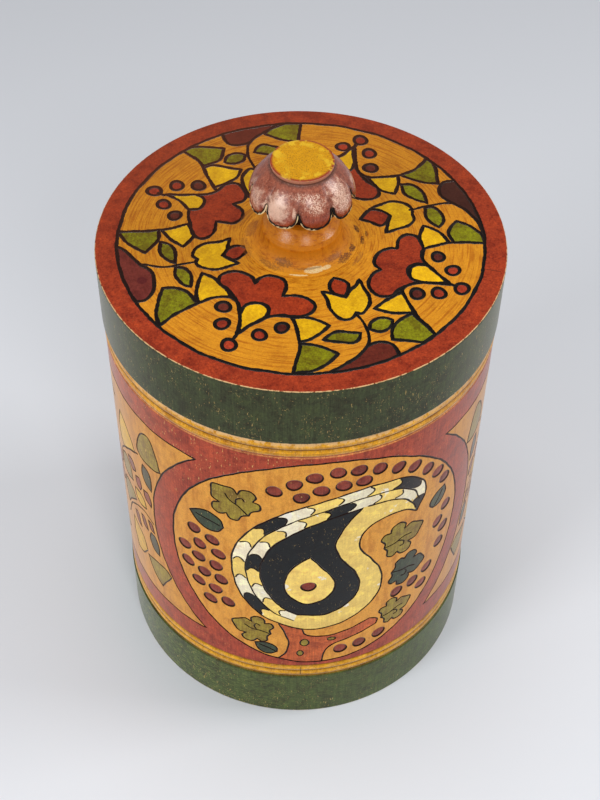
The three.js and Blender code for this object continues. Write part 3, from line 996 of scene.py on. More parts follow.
def scaled_band(outer, inner, along, rows, colours):
    """Panes of a band between two curves, as (outline, colour), and the lines between them. Each row
    is shifted half a pane from the one before, and a pane ends in a half sine across its row."""
    curves = [curve_through(knots) for knots in (outer, inner)]
    lengths = [np.append(0, np.cumsum(np.linalg.norm(np.diff(c, axis=0), axis=1))) for c in curves]

    def spot(share, depth):
        far, near = (np.stack([np.interp(share * length[-1], length, axis) for axis in curve.T], -1)
                     for curve, length in zip(curves, lengths))
        return far * (1 - depth)[:, None] + near * depth[:, None]

    share = np.linspace(0, 1, 120)
    lines = [spot(share, np.full(len(share), row / rows)) for row in range(1, rows)]
    panes = []
    for row in range(rows):
        depth = np.linspace(row / rows, (row + 1) / rows, 9)
        bulge = 0.3 / along * np.sin(np.pi * (depth * rows - row))
        for count in range(along):
            start = (count - row % 2 / 2) / along
            stop = start + 1 / along
            starts = np.clip(start + bulge, 0, 1)
            stops = np.clip(stop + bulge, 0, 1)
            steps = np.linspace(max(start, 0), min(stop, 1), 8)[1:-1]
            outside = spot(steps, np.full(len(steps), depth[0]))
            hollow = spot(steps[::-1], np.full(len(steps), depth[-1]))
            outline = np.vstack((outside, spot(stops, depth), hollow, spot(starts, depth)[::-1]))
            panes.append((outline, colours[(count + 2 * row) % len(colours)]))
            if start > 0:
                lines.append(spot(starts, depth)[1:-1])
    return panes, lines


def medallion(pattern, x):
    """A round panel with the curled drop on its stem, among leaves and bunches of berries."""
    place = set_down(x, MEDALLION_Z)
    pattern.shape(place(ring((0, 0), MEDALLION_RADII, 480)), BODY_WOOD, 1.0, 1.1)
    pattern.area(place(trace(FORKED_STEM)), ORANGE)
    pattern.cut(place(trace(FORKED_STEM[:-1], False)))
    for knot_x, knot_y, wide, tall in STEM_KNOTS:
        pattern.shape(place(ring((knot_x, knot_y), (wide, tall), 14)), OLIVE, width=0.8)
    for leaves, outline, veins in ((LOBED_LEAVES, LOBED_LEAF, LOBED_VEINS),
                                   (PLAIN_LEAVES, PLAIN_LEAF, PLAIN_VEINS)):
        for leaf_x, leaf_y, degrees, size, colour in leaves:
            leaf = set_down(leaf_x, leaf_y, degrees, size)
            pattern.shape(place(leaf(trace(outline))), colour)
            for vein in veins:
                pattern.cut(place(leaf(trace(vein, False))), width=FINE)
    body = np.vstack((curve_through(DROP_BACK), trace(DROP_BELLY, False)[1:-1]))
    pattern.shape(place(body), CREAM)
    scales = (CREAM, BLACK, WHITE, CREAM, WHITE)
    panes, lines = scaled_band(DROP_BACK[:-1], DROP_BAND[:-1], 13, 2, scales)
    for outline, colour in panes:
        pattern.area(place(outline), colour)
    for line in lines:
        pattern.cut(place(line), width=FINE)
    pattern.area(place(trace(DROP_TIP)), BLACK)
    pattern.cut(place(trace(DROP_TIP[:3], False)[1:-1]), width=FINE)
    pattern.cut(place(trace(HOLLOW_EDGE, False)))
    pattern.shape(place(trace(DROP_CORE)), BLACK)
    pattern.shape(place(trace(DROP_EYE)), CREAM)
    for spot in MEDALLION_BERRIES:
        pattern.berry(place(np.array([spot]))[0], BERRY_RADIUS, BODY_BERRY)


def seam(x, side):
    """A line up the red band beside a medallion, which crosses no cut: an arc round the medallion
    that turns straight up and down near its ends, on a column of the turned wall."""
    rise = np.linspace(-SEAM_TURNS_UP, SEAM_TURNS_UP, 54)
    arc = np.stack((x + side * np.sqrt(SEAM_RADIUS ** 2 - rise ** 2), MEDALLION_Z + rise), -1)
    end_x = round(arc[0, 0] / DEGREE) * DEGREE
    return np.vstack(((end_x, FIELD_BOTTOM), arc, (end_x, FIELD_TOP)))


def wall_stretch(left, right, draw, x, seed):
    """The carved wall between two seams, with a panel drawn round its middle x."""
    pattern = Pattern(line_width=0.74, line_depth=0.32, line_colour=BODY_LINE,
                      berry_rings=(1.0, 0.82, 0.6, 0.3), berry_depths=(0, 0.36, 0.24, 0.18),
                      berry_core=0.82)
    draw(pattern, x)
    first, last = (round(line[0, 0] / DEGREE) for line in (left, right))
    steps = np.arange(first + 1, last) * DEGREE
    low = np.stack((steps, np.full(len(steps), FIELD_BOTTOM)), -1)
    high = np.stack((steps, np.full(len(steps), FIELD_TOP)), -1)
    border = np.vstack((left[::-1], low, right, high[::-1]))

    def domain(points):
        x, z = points.T
        held = (x > np.interp(z, left[:, 1], left[:, 0])) & (x < np.interp(z, right[:, 1], right[:, 0]))
        return held & (z > FIELD_BOTTOM) & (z < FIELD_TOP)

    across, upwards = 1.7, 4.0
    xs = np.arange(left[:, 0].min(), right[:, 0].max(), across)
    zs = np.arange(FIELD_BOTTOM + 3, FIELD_TOP - 1, upwards)
    filler = np.stack(np.meshgrid(xs, zs), -1).reshape(-1, 2)
    near = np.array((0.9, 0))
    filler = filler[domain(filler - near) & domain(filler + near)]
    flat = relief(pattern, [(border, True)], domain, filler, BODY_RED, seed)
    return wrapped_round(flat)


def carved_wall():
    """Four stretches: a medallion, a side panel, a medallion at the back and a side panel."""
    skins = []
    for quarter in range(4):
        x = MEDALLION_X + quarter * QUARTER
        seed = 21 + quarter
        if quarter % 2 == 0:
            skins.append(wall_stretch(seam(x, -1), seam(x, 1), medallion, x, seed))
        else:
            skins.append(wall_stretch(seam(x - QUARTER, 1), seam(x + QUARTER, -1), side_panel, x, seed))
    return skins


def reeds(bottom, colour, faint):
    """Two rounded beads: each swells out of its grooves by the root of a sine across it. A thin dark
    line lies in each groove, and a fainter one at a share of the way up the lower bead. A painted
    highlight makes a bead lightest a little over its middle, and the upper pair's top edge is chipped."""
    across = np.linspace(0, 1, 25)
    swell = np.sqrt(np.sin(np.pi * across))
    radius = GROOVE_RADIUS + (GROOVE_DEPTH + REED_PROUD) * swell
    lightest, chips_from = 0.62, 0.45
    # Painted highlight: each bead's colour is lighter a little over its middle.
    crest_highlight = 0.8 + 0.35 * np.exp(-((across - lightest) / 0.2) ** 2)
    skins = []
    for step in (0, 1):
        dark = np.clip(1.35 - 2.2 * swell, 0, 1)
        if step == 0:
            dark = np.maximum(dark, 0.75 * (np.abs(across - faint) < 0.02))
        paint = linear(colour) * (crest_highlight * (1 - dark))[:, None] + linear(REED_LINE) * dark[:, None]
        chipped = np.clip((across - chips_from) / 0.5, 0, 1) * step * (bottom == UPPER_REEDS)
        marks = np.stack((0 * dark, dark, chipped * 0.9 + 0.25 * (1 - dark)), -1)
        skins.append(turned(np.stack((radius, bottom + (across + step) * REED_HEIGHT), -1), paint, marks))
    return skins


def painted_jar(material):
    """The wall: rebate and foot, reeds, carved field, reeds, shoulder, neck and bore."""
    green, red, dark, pink_highlight, gold = (
        linear(colour) for colour in (FOOT_GREEN, BODY_RED, REED_LINE, REED_PINK_HIGHLIGHT, LOWER_GOLD))
    low_groove = LOWER_REEDS - GROOVE_DEPTH
    reeds_top = LOWER_REEDS + 2 * REED_HEIGHT
    field_start = reeds_top + GROOVE_DEPTH
    field_end = UPPER_REEDS - GROOVE_DEPTH
    skins = [
        *bare_runs([(REBATE_RADIUS, 0), (FOOT_RADIUS - FOOT_ARRIS, 0)], (2,)),
        turned(rounded_edge(FOOT_RADIUS, 0, FOOT_ARRIS, 5, -1), green, (0, 0, 0.6)),
        turned(straight((FOOT_RADIUS, FOOT_ARRIS), (FOOT_RADIUS, low_groove), 10), green),
        turned(straight((FOOT_RADIUS, low_groove), (GROOVE_RADIUS, LOWER_REEDS), 4),
               [green, green, green * 0.6 + gold * 0.2, gold * 0.5, dark]),
        *reeds(LOWER_REEDS, LOWER_GOLD, 0.4),
        turned(straight((GROOVE_RADIUS, reeds_top), (BODY_RADIUS, field_start), 4),
               [dark, gold, gold * 0.7 + red * 0.3, dark * 1.3, red]),
        turned(straight((BODY_RADIUS, field_start), (BODY_RADIUS, FIELD_BOTTOM)), red),
        *carved_wall(),
        turned(straight((BODY_RADIUS, FIELD_TOP), (BODY_RADIUS, field_end)), red),
        # The pink band round the bevel under the upper reeds is a painted highlight.
        turned(straight((BODY_RADIUS, field_end), (GROOVE_RADIUS, UPPER_REEDS), 4),
               [red, pink_highlight, pink_highlight, red, dark]),
        *reeds(UPPER_REEDS, GOLD, 0.55),
        *bare_runs([(GROOVE_RADIUS, SHOULDER_Z), (NECK_RADIUS, SHOULDER_Z),
                    (NECK_RADIUS, NECK_TOP - NECK_ARRIS), (NECK_RADIUS - NECK_ARRIS, NECK_TOP),
                    (BORE_RADIUS, NECK_TOP), (BORE_RADIUS, LEDGE_Z), (REBATE_RADIUS, LEDGE_Z),
                    (REBATE_RADIUS, 0)], (2, 4, 1, 2, 12, 1, 1))]
    return piece("painted_jar", skins, "jar", "jar_wall", material)


def base_disc(material):
    """The stepped disc that closes the foot."""
    step = BORE_RADIUS - GLUE_GAP
    corners = [(0, BASE_BOTTOM), (BASE_RADIUS, BASE_BOTTOM), (BASE_RADIUS, FLANGE_TOP),
               (step, FLANGE_TOP), (step, FLOOR_Z), (0, FLOOR_Z)]
    return piece("bare_base_disc", bare_runs(corners, (6,) * 5), "jar", "base_disc", material)


# The knob. Heights are above the lid's face.

PETALS = 9
FIRST_NOTCH = math.radians(-93.4)
COLUMNS_PER_PETAL = 44
KNOB_BASE_RADIUS = 19.5
COLLAR_RADIUS = 13.7
COLLAR_HEIGHT = 7.0
COLLAR_EDGE = 0.5
WAIST_RADIUS = 9.8
WAIST_HEIGHT = 12.4
SKIRT_HEIGHT = 19.0
NOTCH_HEIGHT = 5.6
CORE_RADIUS = 14.8
DOME_RADIUS = 17.75
DOME_WIDEST = 20.6
DISC_RADIUS = 10.5
COVE_RADIUS = 10.3
COVE_HEIGHT = 32.4
LIP_THICKNESS = 1.1
LIP_RADIUS = 16.5
BASE_EDGE = 0.32
BASE_GLUE = 0.05
TENON_FOOT = TENON_BOTTOM - LID_TOP
DISC_TOP = KNOB_TOP - LID_TOP
TOP_CROWN = 0.15
TOP_ARRIS = 0.35


def crowded(share):
    """Places across a petal, from 0 to 1, drawn towards the notches by a sine."""
    return share - 0.8 * np.sin(2 * np.pi * share) / (2 * np.pi)


ACROSS_PETAL = crowded(np.arange(COLUMNS_PER_PETAL) / COLUMNS_PER_PETAL)
KNOB_TURNS = FIRST_NOTCH + ((np.arange(PETALS)[:, None] + ACROSS_PETAL) * 2 * np.pi / PETALS).ravel()


def dome_radius(height):
    """The dome's radius: widest low down, and closing in to the cove by a power of the height."""
    above = np.abs((height - DOME_WIDEST) / (COVE_HEIGHT - DOME_WIDEST))
    return DOME_RADIUS - (DOME_RADIUS - COVE_RADIUS) * above ** 2.1


def petal_arc(share):
    """1 on a petal's middle and 0 in the notch beside it: a low power of a sine across the petal."""
    return np.sin(np.pi * (share % 1)) ** 0.4


def lip_height(arc):
    """The height of the skirt's lower edge, lowest on a petal's middle."""
    return SKIRT_HEIGHT + NOTCH_HEIGHT * (1 - arc)


def lip_distance(share, height):
    """How far a place on a petal is from the skirt's lower edge, measured over the surface."""
    samples = crowded(np.linspace(-0.5, 1.5, 600))
    wide = 2 * np.pi * LIP_RADIUS / PETALS
    lip = lip_height(petal_arc(samples))
    return np.hypot((share[..., None] - samples) * wide, height[..., None] - lip).min(-1)


def knob_grid(radius, height):
    """Points of the knob from radii and heights, each a number or an array (row, column)."""
    radius, height, turn = np.broadcast_arrays(radius, height, KNOB_TURNS[None, :])
    return np.stack((radius * np.cos(turn), radius * np.sin(turn), LID_TOP + height), -1)


def knob_run(profile, colour, marks=(0, 0, 0)):
    """A plain turned stretch of the knob. Its colour may be given for each point."""
    profile = np.asarray(profile, float)
    return carried_round(knob_grid(profile[:, :1], profile[:, 1:]), for_each_row(colour), marks)


def over(under, colour, share):
    """A colour laid over colours (row, column, 3) by a share (row, column)."""
    share = np.clip(share, 0, 1)[..., None]
    return under * (1 - share) + linear(colour) * share


def hump(values, middle, reach):
    """1 at a middle, and falling off on both sides as a bell curve."""
    return np.exp(-((values - middle) / reach) ** 2)


def petal_skin():
    """The nine petals from their scalloped lip up to the cove. Each bulges between valleys that narrow
    upwards and are darkened with painted shade, as is the dome next to the cove, and a dark groove
    with a pale, broken cut edge runs along its lip. Also gives the radius and the height of the lip
    at each column."""
    lip = lip_height(np.tile(petal_arc(ACROSS_PETAL), PETALS)[None, :])
    dip = np.tile(hump(np.minimum(ACROSS_PETAL, 1 - ACROSS_PETAL), 0, 0.13), PETALS)[None, :]
    up = np.linspace(0, 1, 84)[:, None] ** 1.25
    height = lip + (COVE_HEIGHT - lip) * up
    across = np.broadcast_to(ACROSS_PETAL, (len(up), COLUMNS_PER_PETAL))
    away = np.tile(lip_distance(across, height[:, :COLUMNS_PER_PETAL]), (1, PETALS))

    valley = 0.75 * dip * (1 - up) ** 1.3
    groove = 0.3 * hump(away, 0.75, 0.36)
    cove = 0.25 * hump(up, 1, 0.03)
    radius = dome_radius(height) - valley - groove - cove

    red_below, cove_above = 26, 31.4
    colour = over(linear(PETAL_PURPLE) + 0 * height[..., None], PETAL_RED, (red_below - height) / 6)
    # Painted shade: the cove's dark colour is laid into the valleys between the petals and on the dome next
    # to the cove.
    colour = over(colour, KNOB_COVE_SHADE, 0.6 * dip * (1 - up) ** 0.7)
    colour = over(colour, KNOB_COVE_SHADE, (height - cove_above) / 0.7)
    turn = KNOB_TURNS[None, :]
    ragged = 0.28 * np.sin(21 * turn + 0.6) * np.sin(34 * turn) + 0.1 * np.sin(83 * turn)
    worn_thin = 0.38 * hump(turn, -0.85, 0.5)
    dark = np.clip((1.0 + 0.8 * ragged - away) / 0.3, 0, 1)
    pale = np.clip((0.34 + 1.2 * ragged - worn_thin - away) / 0.15, 0, 1)
    colour = over(over(colour, LID_LINE, dark), CHIPPED_WOOD, pale)
    marks = np.stack((0 * dark, dark * (1 - pale), pale), 2)
    return carried_round(knob_grid(radius, height), colour, marks), radius[0], lip[0]


def knob_foot():
    """The foot's hollow curve, the collar's soft step and the neck's hollow slope, as profiles."""
    up = np.linspace(0, 1, 27)[:-3]
    foot = np.stack((KNOB_BASE_RADIUS - (KNOB_BASE_RADIUS - COLLAR_RADIUS) * (1 - (1 - up) ** 2.2),
                     BASE_EDGE + (COLLAR_HEIGHT - BASE_EDGE) * up ** 1.7), -1)
    collar_top = COLLAR_HEIGHT + COLLAR_EDGE
    up = np.linspace(0.16, 1, 16)
    neck = np.stack((WAIST_RADIUS + (COLLAR_RADIUS - WAIST_RADIUS) * (1 - up) ** 1.4,
                     collar_top + (WAIST_HEIGHT - collar_top) * up), -1)
    collar = curve_through([foot[-1], (COLLAR_RADIUS, COLLAR_HEIGHT - 0.35),
                            (COLLAR_RADIUS - 0.3, collar_top - 0.25), neck[0]])
    halves = [start + (end - start) * np.array([[0.5], [1]]) for start, end in zip(collar, collar[1:])]
    return foot, np.vstack((collar[:1], *halves)), neck


def petalled_knob(material):
    """Tenon, hollow foot with a collar, neck, petalled skirt and flat yellow top."""
    gold, foot_gold, lid_gold, raw, ink, chipped, cove, pink_highlight, rim, yellow = (
        linear(colour) for colour in (KNOB_GOLD, KNOB_FOOT, LID_WOOD, RAW_WOOD, LID_LINE, CHIPPED_WOOD,
                                      KNOB_COVE_SHADE, KNOB_EDGE_HIGHLIGHT, KNOB_RIM, KNOB_TOP_YELLOW))
    foot, collar, neck = knob_foot()
    outer = np.clip((foot[:, :1] - 15.5) / 3.5, 0, 1)
    under_skirt = (14.5, 18.9)
    throat = curve_through(
        [(WAIST_RADIUS, WAIST_HEIGHT), (10.0, 13.9), (10.8, 15.7), (12.3, 17.5), under_skirt])
    shade = np.linspace(0.75, 0.2, len(throat))[:, None]

    petals, lip_radius, lip = petal_skin()
    every = np.ones(len(KNOB_TURNS))
    inner_lip = np.maximum(lip_radius - LIP_THICKNESS, CORE_RADIUS + 0.15)
    rows = [(under_skirt[0] * every, under_skirt[1] * every), (CORE_RADIUS * every, lip + 0.1),
            (inner_lip, lip + 0.05), (lip_radius, lip)]
    core, under, edge = (
        knob_grid(np.vstack((low[0], high[0])), np.vstack((low[1], high[1])))
        for low, high in zip(rows, rows[1:]))

    disc_edge = [(COVE_RADIUS, COVE_HEIGHT), (DISC_RADIUS - 0.2, COVE_HEIGHT + 0.25),
                 (DISC_RADIUS - 0.02, COVE_HEIGHT + 0.5), (DISC_RADIUS, DISC_TOP - 0.5)]
    top_edge = rounded_edge(DISC_RADIUS, DISC_TOP - TOP_CROWN, TOP_ARRIS, 5)
    top_radii = np.linspace(DISC_RADIUS - TOP_ARRIS, 0, 14)
    top = np.stack((top_radii, DISC_TOP - TOP_CROWN * (top_radii / DISC_RADIUS) ** 2), -1)
    top[0] = top_edge[-1]
    skins = [
        knob_run([(0, TENON_FOOT), (TENON_RADIUS, TENON_FOOT)], raw, BARE),
        knob_run([(TENON_RADIUS, TENON_FOOT), (TENON_RADIUS, BASE_GLUE)], raw, BARE),
        knob_run(straight((TENON_RADIUS, BASE_GLUE), (KNOB_BASE_RADIUS, BASE_GLUE), 2), raw, BARE),
        knob_run([(KNOB_BASE_RADIUS, BASE_GLUE), (KNOB_BASE_RADIUS, BASE_EDGE)], lid_gold),
        knob_run(foot, foot_gold * (1 - outer) + lid_gold * outer),
        knob_run(collar, gold),
        knob_run(neck, gold),
        knob_run(throat, gold * shade),
        carried_round(core, ink, (0, 1, 0)),
        carried_round(under, ink, (0, 1, 0)),
        # The lip's underside is chipped wood at half its brightness: painted shade under the petals.
        carried_round(edge, chipped * 0.5, (0, 0, 0)),
        petals,
        # The disc's side and the foot of its arris are pink, a painted highlight; the cove below it takes
        # the cove's painted shade.
        knob_run(disc_edge, [cove, pink_highlight, pink_highlight, pink_highlight]),
        knob_run(top_edge, [pink_highlight] * 2 + [rim] * 3),
        knob_run(top, [rim] + [yellow] * 13)]
    return piece("petalled_knob", skins, "cover", "knob", material)


# Where a petal is painted pale, partly for rubbed paint and partly as a painted highlight; the
# smooth patch at -120 is a painted highlight. The turn, the height, how far along and up, how much,
# and how grainy it is.

PETAL_RUBS_AND_HIGHLIGHTS = (
    (-120, 24.8, 6.6, 6.0, 0.78, 0.1), (-73, 27.4, 4.6, 3.4, 0.95, 0.8), (-35, 26.2, 6.0, 6.6, 1.0, 0.6),
    (-98, 25.0, 0.9, 2.2, 0.9, 0.3), (-152, 24.6, 5.0, 5.0, 0.7, 0.4), (-92, 29.6, 9.0, 1.4, 0.6, 0.9),
    (4, 25, 4, 4.5, 0.7, 0.6), (48, 24.6, 4, 4, 0.7, 0.5), (92, 25.5, 4, 4.5, 0.6, 0.6),
    (140, 24.5, 3.6, 4, 0.7, 0.4), (-175, 25.5, 3, 4, 0.5, 0.5))

# Chips, stains and darker patches round the knob's foot: the turn, the distance from the axis, how
# far along and across, how ragged, how strong and the colour. The three brown ones at the left, at
# turns 168, -166 and 150, are darker patches beside the foot.

STAINS_AND_PATCHES = (
    (-74, 17.0, 3.9, 1.25, 1.6, 0.95, CHIPPED_WOOD), (-60, 17.2, 1.8, 0.8, 1.8, 0.9, CHIPPED_WOOD),
    (-92, 18.6, 3.4, 0.36, 2.6, 0.9, CHIPPED_WOOD), (-80, 16.4, 5.4, 0.4, 2.6, 0.6, (112, 66, 30)),
    (-34, 17.8, 3.4, 1.5, 3.6, 0.8, (92, 50, 34)), (-16, 18.0, 1.9, 1.1, 3.4, 0.85, (74, 36, 28)),
    (-46, 15.6, 4.2, 0.9, 3.6, 0.6, (118, 66, 36)), (-1, 20.8, 2.4, 0.7, 3.4, 0.85, (70, 34, 24)),
    (15, 19.6, 2.0, 0.9, 2.8, 0.9, (66, 30, 22)), (7, 22.4, 1.6, 0.5, 3.0, 0.8, (60, 30, 22)),
    (-112, 15.4, 3.4, 1.1, 4.4, 0.7, (104, 66, 34)), (-126, 17.6, 5.0, 1.2, 4.4, 0.6, (122, 76, 36)),
    (168, 17.4, 5.0, 2.2, 2.6, 0.55, (128, 66, 30)), (-166, 19.4, 6.0, 1.6, 2.6, 0.45, (138, 78, 34)),
    (150, 22.0, 6.0, 1.4, 2.6, 0.4, (132, 76, 34)), (-26, 21.6, 4.0, 1.0, 4.0, 0.5, (120, 68, 40)))


# Finishes

def operator(operation, swapped=False):
    """A Value's operator, which adds a Math node. Swapped, the Value is the second number."""
    def applied(self, other):
        first, second = (other, self) if swapped else (self, other)
        return self.maths(operation, {0: first, 1: second})
    return applied


class Value:
    """A number that varies over a surface. Python's operators on it add Math nodes."""

    def __init__(self, finish, socket):
        self.finish = finish
        self.socket = socket

    def maths(self, operation, inputs):
        return self.finish.node("ShaderNodeMath", {"operation": operation}, inputs)

    __add__ = __radd__ = operator("ADD")
    __mul__ = __rmul__ = operator("MULTIPLY")
    __sub__ = operator("SUBTRACT")
    __rsub__ = operator("SUBTRACT", swapped=True)
    __truediv__ = operator("DIVIDE")
    __pow__ = operator("POWER")

    def size(self):
        return self.maths("ABSOLUTE", {0: self})

    def above(self, low, high):
        """0 where it is under low, 1 where it is over high, and smooth between."""
        return self.finish.node("ShaderNodeMapRange", {"interpolation_type": "SMOOTHSTEP"},
                                {"Value": self, "From Min": low, "From Max": high})

    def past(self, level, reach):
        """0 up to a level, and 1 from a reach over it."""
        return (self - level).above(0.0, reach)

    def short_of(self, level, reach):
        """0 down to a level, and 1 from a reach under it."""
        return (level - self).above(0.0, reach)


class Finish:
    """A node material with one Principled shader."""

    def __init__(self, name):
        self.material = bpy.data.materials.new(name)
        self.material.use_nodes = True
        self.tree = self.material.node_tree
        self.tree.nodes.clear()
        self.shader = self.tree.nodes.new("ShaderNodeBsdfPrincipled")
        output = self.tree.nodes.new("ShaderNodeOutputMaterial")
        self.tree.links.new(self.shader.outputs[0], output.inputs[0])

    def join(self, given, socket):
        if isinstance(given, Value):
            self.tree.links.new(given.socket, socket)
        else:
            if socket.type == "RGBA" and len(given) == 3:
                given = (*given, 1)
            socket.default_value = given

    def node(self, kind, settings=None, inputs=None, output=0):
        """Adds a node of any type, with its settings and the values or links of its sockets."""
        made = self.tree.nodes.new(kind)
        for name, value in (settings or {}).items():
            setattr(made, name, value)
        for name, value in (inputs or {}).items():
            self.join(value, made.inputs[name])
        return Value(self, made.outputs[output])

    def set(self, **sockets):
        for name, value in sockets.items():
            self.join(value, self.shader.inputs[name.replace("_", " ")])

    def blend(self, share, first, second, how="MIX"):
        """Mixes two colours, the second over the first by a share."""
        return self.node("ShaderNodeMix", {"data_type": "RGBA", "blend_type": how},
                         {0: share, 6: first, 7: second}, 2)

    def tint(self, colour, factors):
        return self.blend(1.0, colour, factors, "MULTIPLY")

    def tinted(self, colour, *layers):
        """A colour under layers (share, factors), each of which multiplies what is under it."""
        for share, factors in layers:
            colour = self.blend(share, colour, self.tint(colour, factors))
        return colour

    def stained(self, colour, *layers):
        """A colour under layers (share, 8-bit colour), each of which hides what is under it."""
        for share, stain in layers:
            colour = self.blend(share, colour, linear(stain))
        return colour

    def place(self):
        """The place on the piece, in millimetres."""
        place = self.node("ShaderNodeTexCoord", output=3)
        return self.node("ShaderNodeVectorMath", {"operation": "SCALE"}, {0: place, "Scale": 1 / MM})

    def outputs(self, kind, given):
        """Every output of a node with one input."""
        split = self.node(kind, None, {0: given}).socket.node
        return [Value(self, socket) for socket in split.outputs]

    def parts(self, vector):
        return self.outputs("ShaderNodeSeparateXYZ", vector)

    def channels(self, colour):
        return self.outputs("ShaderNodeSeparateColor", colour)

    def vector(self, x, y, z):
        return self.node("ShaderNodeCombineXYZ", None, {0: x, 1: y, 2: z})

    def noise(self, vector, scale=1.0, detail=2.0, roughness=0.5):
        """A noise from 0 to 1, about 0.5: its scale per millimetre, octaves and roughness."""
        return self.node("ShaderNodeTexNoise", None,
                         {"Vector": vector, "Scale": scale, "Detail": detail, "Roughness": roughness})

    def attribute(self, name):
        return self.node("ShaderNodeAttribute", {"attribute_name": name})

    def angle(self, x, y):
        """The turn round the axis, from x."""
        return self.node("ShaderNodeMath", {"operation": "ARCTAN2"}, {0: y, 1: x})

    def cells(self, vector, scale):
        """The distance to the nearest of many scattered points, and a number drawn for that point."""
        cell = self.node("ShaderNodeTexVoronoi", None, {"Vector": vector, "Scale": scale}).socket.node
        return Value(self, cell.outputs["Distance"]), self.channels(Value(self, cell.outputs["Color"]))[0]

    def round_patch(self, x, y, degrees, radius, along, across, ragged):
        """1 inside a patch on a face: its middle is at an angle and a radius, it reaches so far along
        the turning and across it, and noise makes its edge ragged."""
        turn = self.angle(x, y) - math.radians(degrees)
        out = (from_axis(x, y) - radius) / across
        run = turn * (radius / along)
        edge = (self.noise(self.vector(x, y, 0.0), 1.3, 4.0, 0.75) - 0.5) * ragged
        return (run * run + out * out).short_of(1.0 + edge, 0.4)

    def bump(self, height, strength, distance):
        normal = self.node("ShaderNodeBump", None,
                           {"Strength": strength, "Distance": distance, "Height": height})
        self.set(Normal=normal)


def from_axis(x, y):
    return (x * x + y * y) ** 0.5


def painted_wood(name, streaks, wear, spots, figure, sheen):
    """Painted and stained wood under thin varnish. Streaks gives the noise place of the wood's
    grain, wear how much of the paint has come off in flecks and dashes at a place, spots its
    stains and cracks, and figure how strongly the grain shows where no paint hides it."""
    finish = Finish(name)
    place = finish.place()
    x, y, z = finish.parts(place)
    bare, cut, worn = finish.channels(finish.attribute("marks"))
    paint = finish.attribute("paint")
    painted = 1 - bare
    plain = 1 - cut
    brightness = finish.channels(paint)[1]
    mottled = plain * (1 - 0.7 * brightness.above(0.2, 0.5) * painted)

    # Noises from the largest to the finest, and two drawn out along the grain and the brush.
    cloud = finish.noise(place, 0.06, 3.0, 0.6)
    chipped = finish.noise(place, 0.17, 4.0, 0.6)
    tone = finish.noise(place, 0.2, 4.0, 0.65)
    mottle = finish.noise(place, 0.95, 4.0, 0.75)
    grit = finish.noise(place, 2.6, 2.0, 0.7)
    grain = finish.noise(streaks(finish, x, y, z), 1.0, 4.0, 0.65)
    brushed = finish.noise(finish.vector(x * 1.7, y * 1.7, z * 0.09), 1.0, 3.0, 0.6)

    colour = finish.blend(grain.short_of(0.51, 0.13) * bare * figure, paint,
                          finish.tint(paint, (0.68, 0.5, 0.32)))
    colour = finish.blend(grain.past(0.53, 0.16) * bare * 0.7 * figure, colour,
                          finish.tint(paint, (1.2, 1.24, 1.15)))
    colour = finish.tinted(
        colour,
        (tone.short_of(0.5, 0.13) * (0.35 + 0.45 * painted) * mottled, (0.66, 0.54, 0.56)),
        (tone.past(0.53, 0.12) * painted * plain * 0.65, (1.3, 1.36, 1.15)),
        (mottle.short_of(0.47, 0.1) * (0.2 + 0.6 * painted) * mottled, (0.66, 0.56, 0.56)),
        (mottle.past(0.56, 0.08) * (0.2 + 0.45 * painted) * mottled, (1.35, 1.4, 1.3)),
        (grit.short_of(0.47, 0.1) * mottled * 0.5, (0.72, 0.68, 0.66)),
        (grit.past(0.53, 0.1) * plain * 0.4, (1.22, 1.25, 1.2)),
        (brushed.past(0.53, 0.08) * painted * mottled * 0.5, (1.35, 1.45, 1.35)),
        (brushed.short_of(0.47, 0.08) * painted * mottled * 0.5, (0.7, 0.64, 0.62)),
        (cloud.past(0.5, 0.16) * 0.4, (0.84, 0.78, 0.74)))
    pale = brightness.above(0.52, 0.6) * painted
    colour = finish.stained(
        colour,
        (pale * chipped.past(0.64, 0.03) * 0.85, PALE_WORN),
        (pale * chipped.short_of(0.42, 0.1) * 0.35, PALE_STAINED))

    # Curls, dots and upright dashes of paint that has come off, in patches.
    fine = (finish.noise(place, 0.8, 1.0, 0.5) - 0.5).size()
    patch = finish.noise(place, 0.14, 3.0, 0.65)
    curls = fine.short_of(0.014, 0.012) * finish.noise(place, 1.1, 0.0).above(0.52, 0.6)
    far, drawn = finish.cells(place, 1.1)
    dots = far.short_of(0.2 * drawn, 0.05) * drawn.past(0.6, 0.05)
    dash = finish.noise(finish.vector(x * 2.2, y * 2.2, z * 0.5), 1.0, 1.0, 0.5)
    flecks, dashes = wear(finish, x, y, z)
    bits = (curls * patch.above(0.46, 0.64) + dots * patch.above(0.38, 0.55) * 0.8) * flecks
    bits = bits + dash.past(0.69, 0.03) * patch.above(0.36, 0.56) * dashes
    rubbed = worn * (finish.noise(place, 0.5, 4.0, 0.8) - 0.5 + 0.12 * worn).above(0.0, 0.12)
    colour = finish.stained(
        colour,
        (bits.above(0.0, 1.0) * painted * plain * 0.8, FLECK),
        (rubbed * 0.8, WORN_EDGE),
        *spots(finish, x, y, z))
    finish.set(Base_Color=colour, Roughness=0.36 + 0.14 * tone + 0.15 * cut, Specular_IOR_Level=0.12,
               Sheen_Weight=sheen, Sheen_Roughness=0.3)
    finish.bump(grain * bare * 0.6 + 0.6 * mottle * painted, strength=0.22, distance=0.3 * MM)
    return finish.material


def round_streaks(finish, x, y, z):
    """Grain drawn out round the axis, as a turning tool leaves it on a face."""
    radius = from_axis(x, y)
    return finish.vector(x / radius * 4, y / radius * 4, radius * 1.7 + z * 0.3)


def upright_streaks(finish, x, y, z):
    """Cloudy grain, a little drawn out along the axis."""
    return finish.vector(x * 0.4, y * 0.4, z * 0.08)


# The lid's side ends here. A patch is given by its turn, its distance from the axis, how far it
# reaches along and across, and how ragged it is.

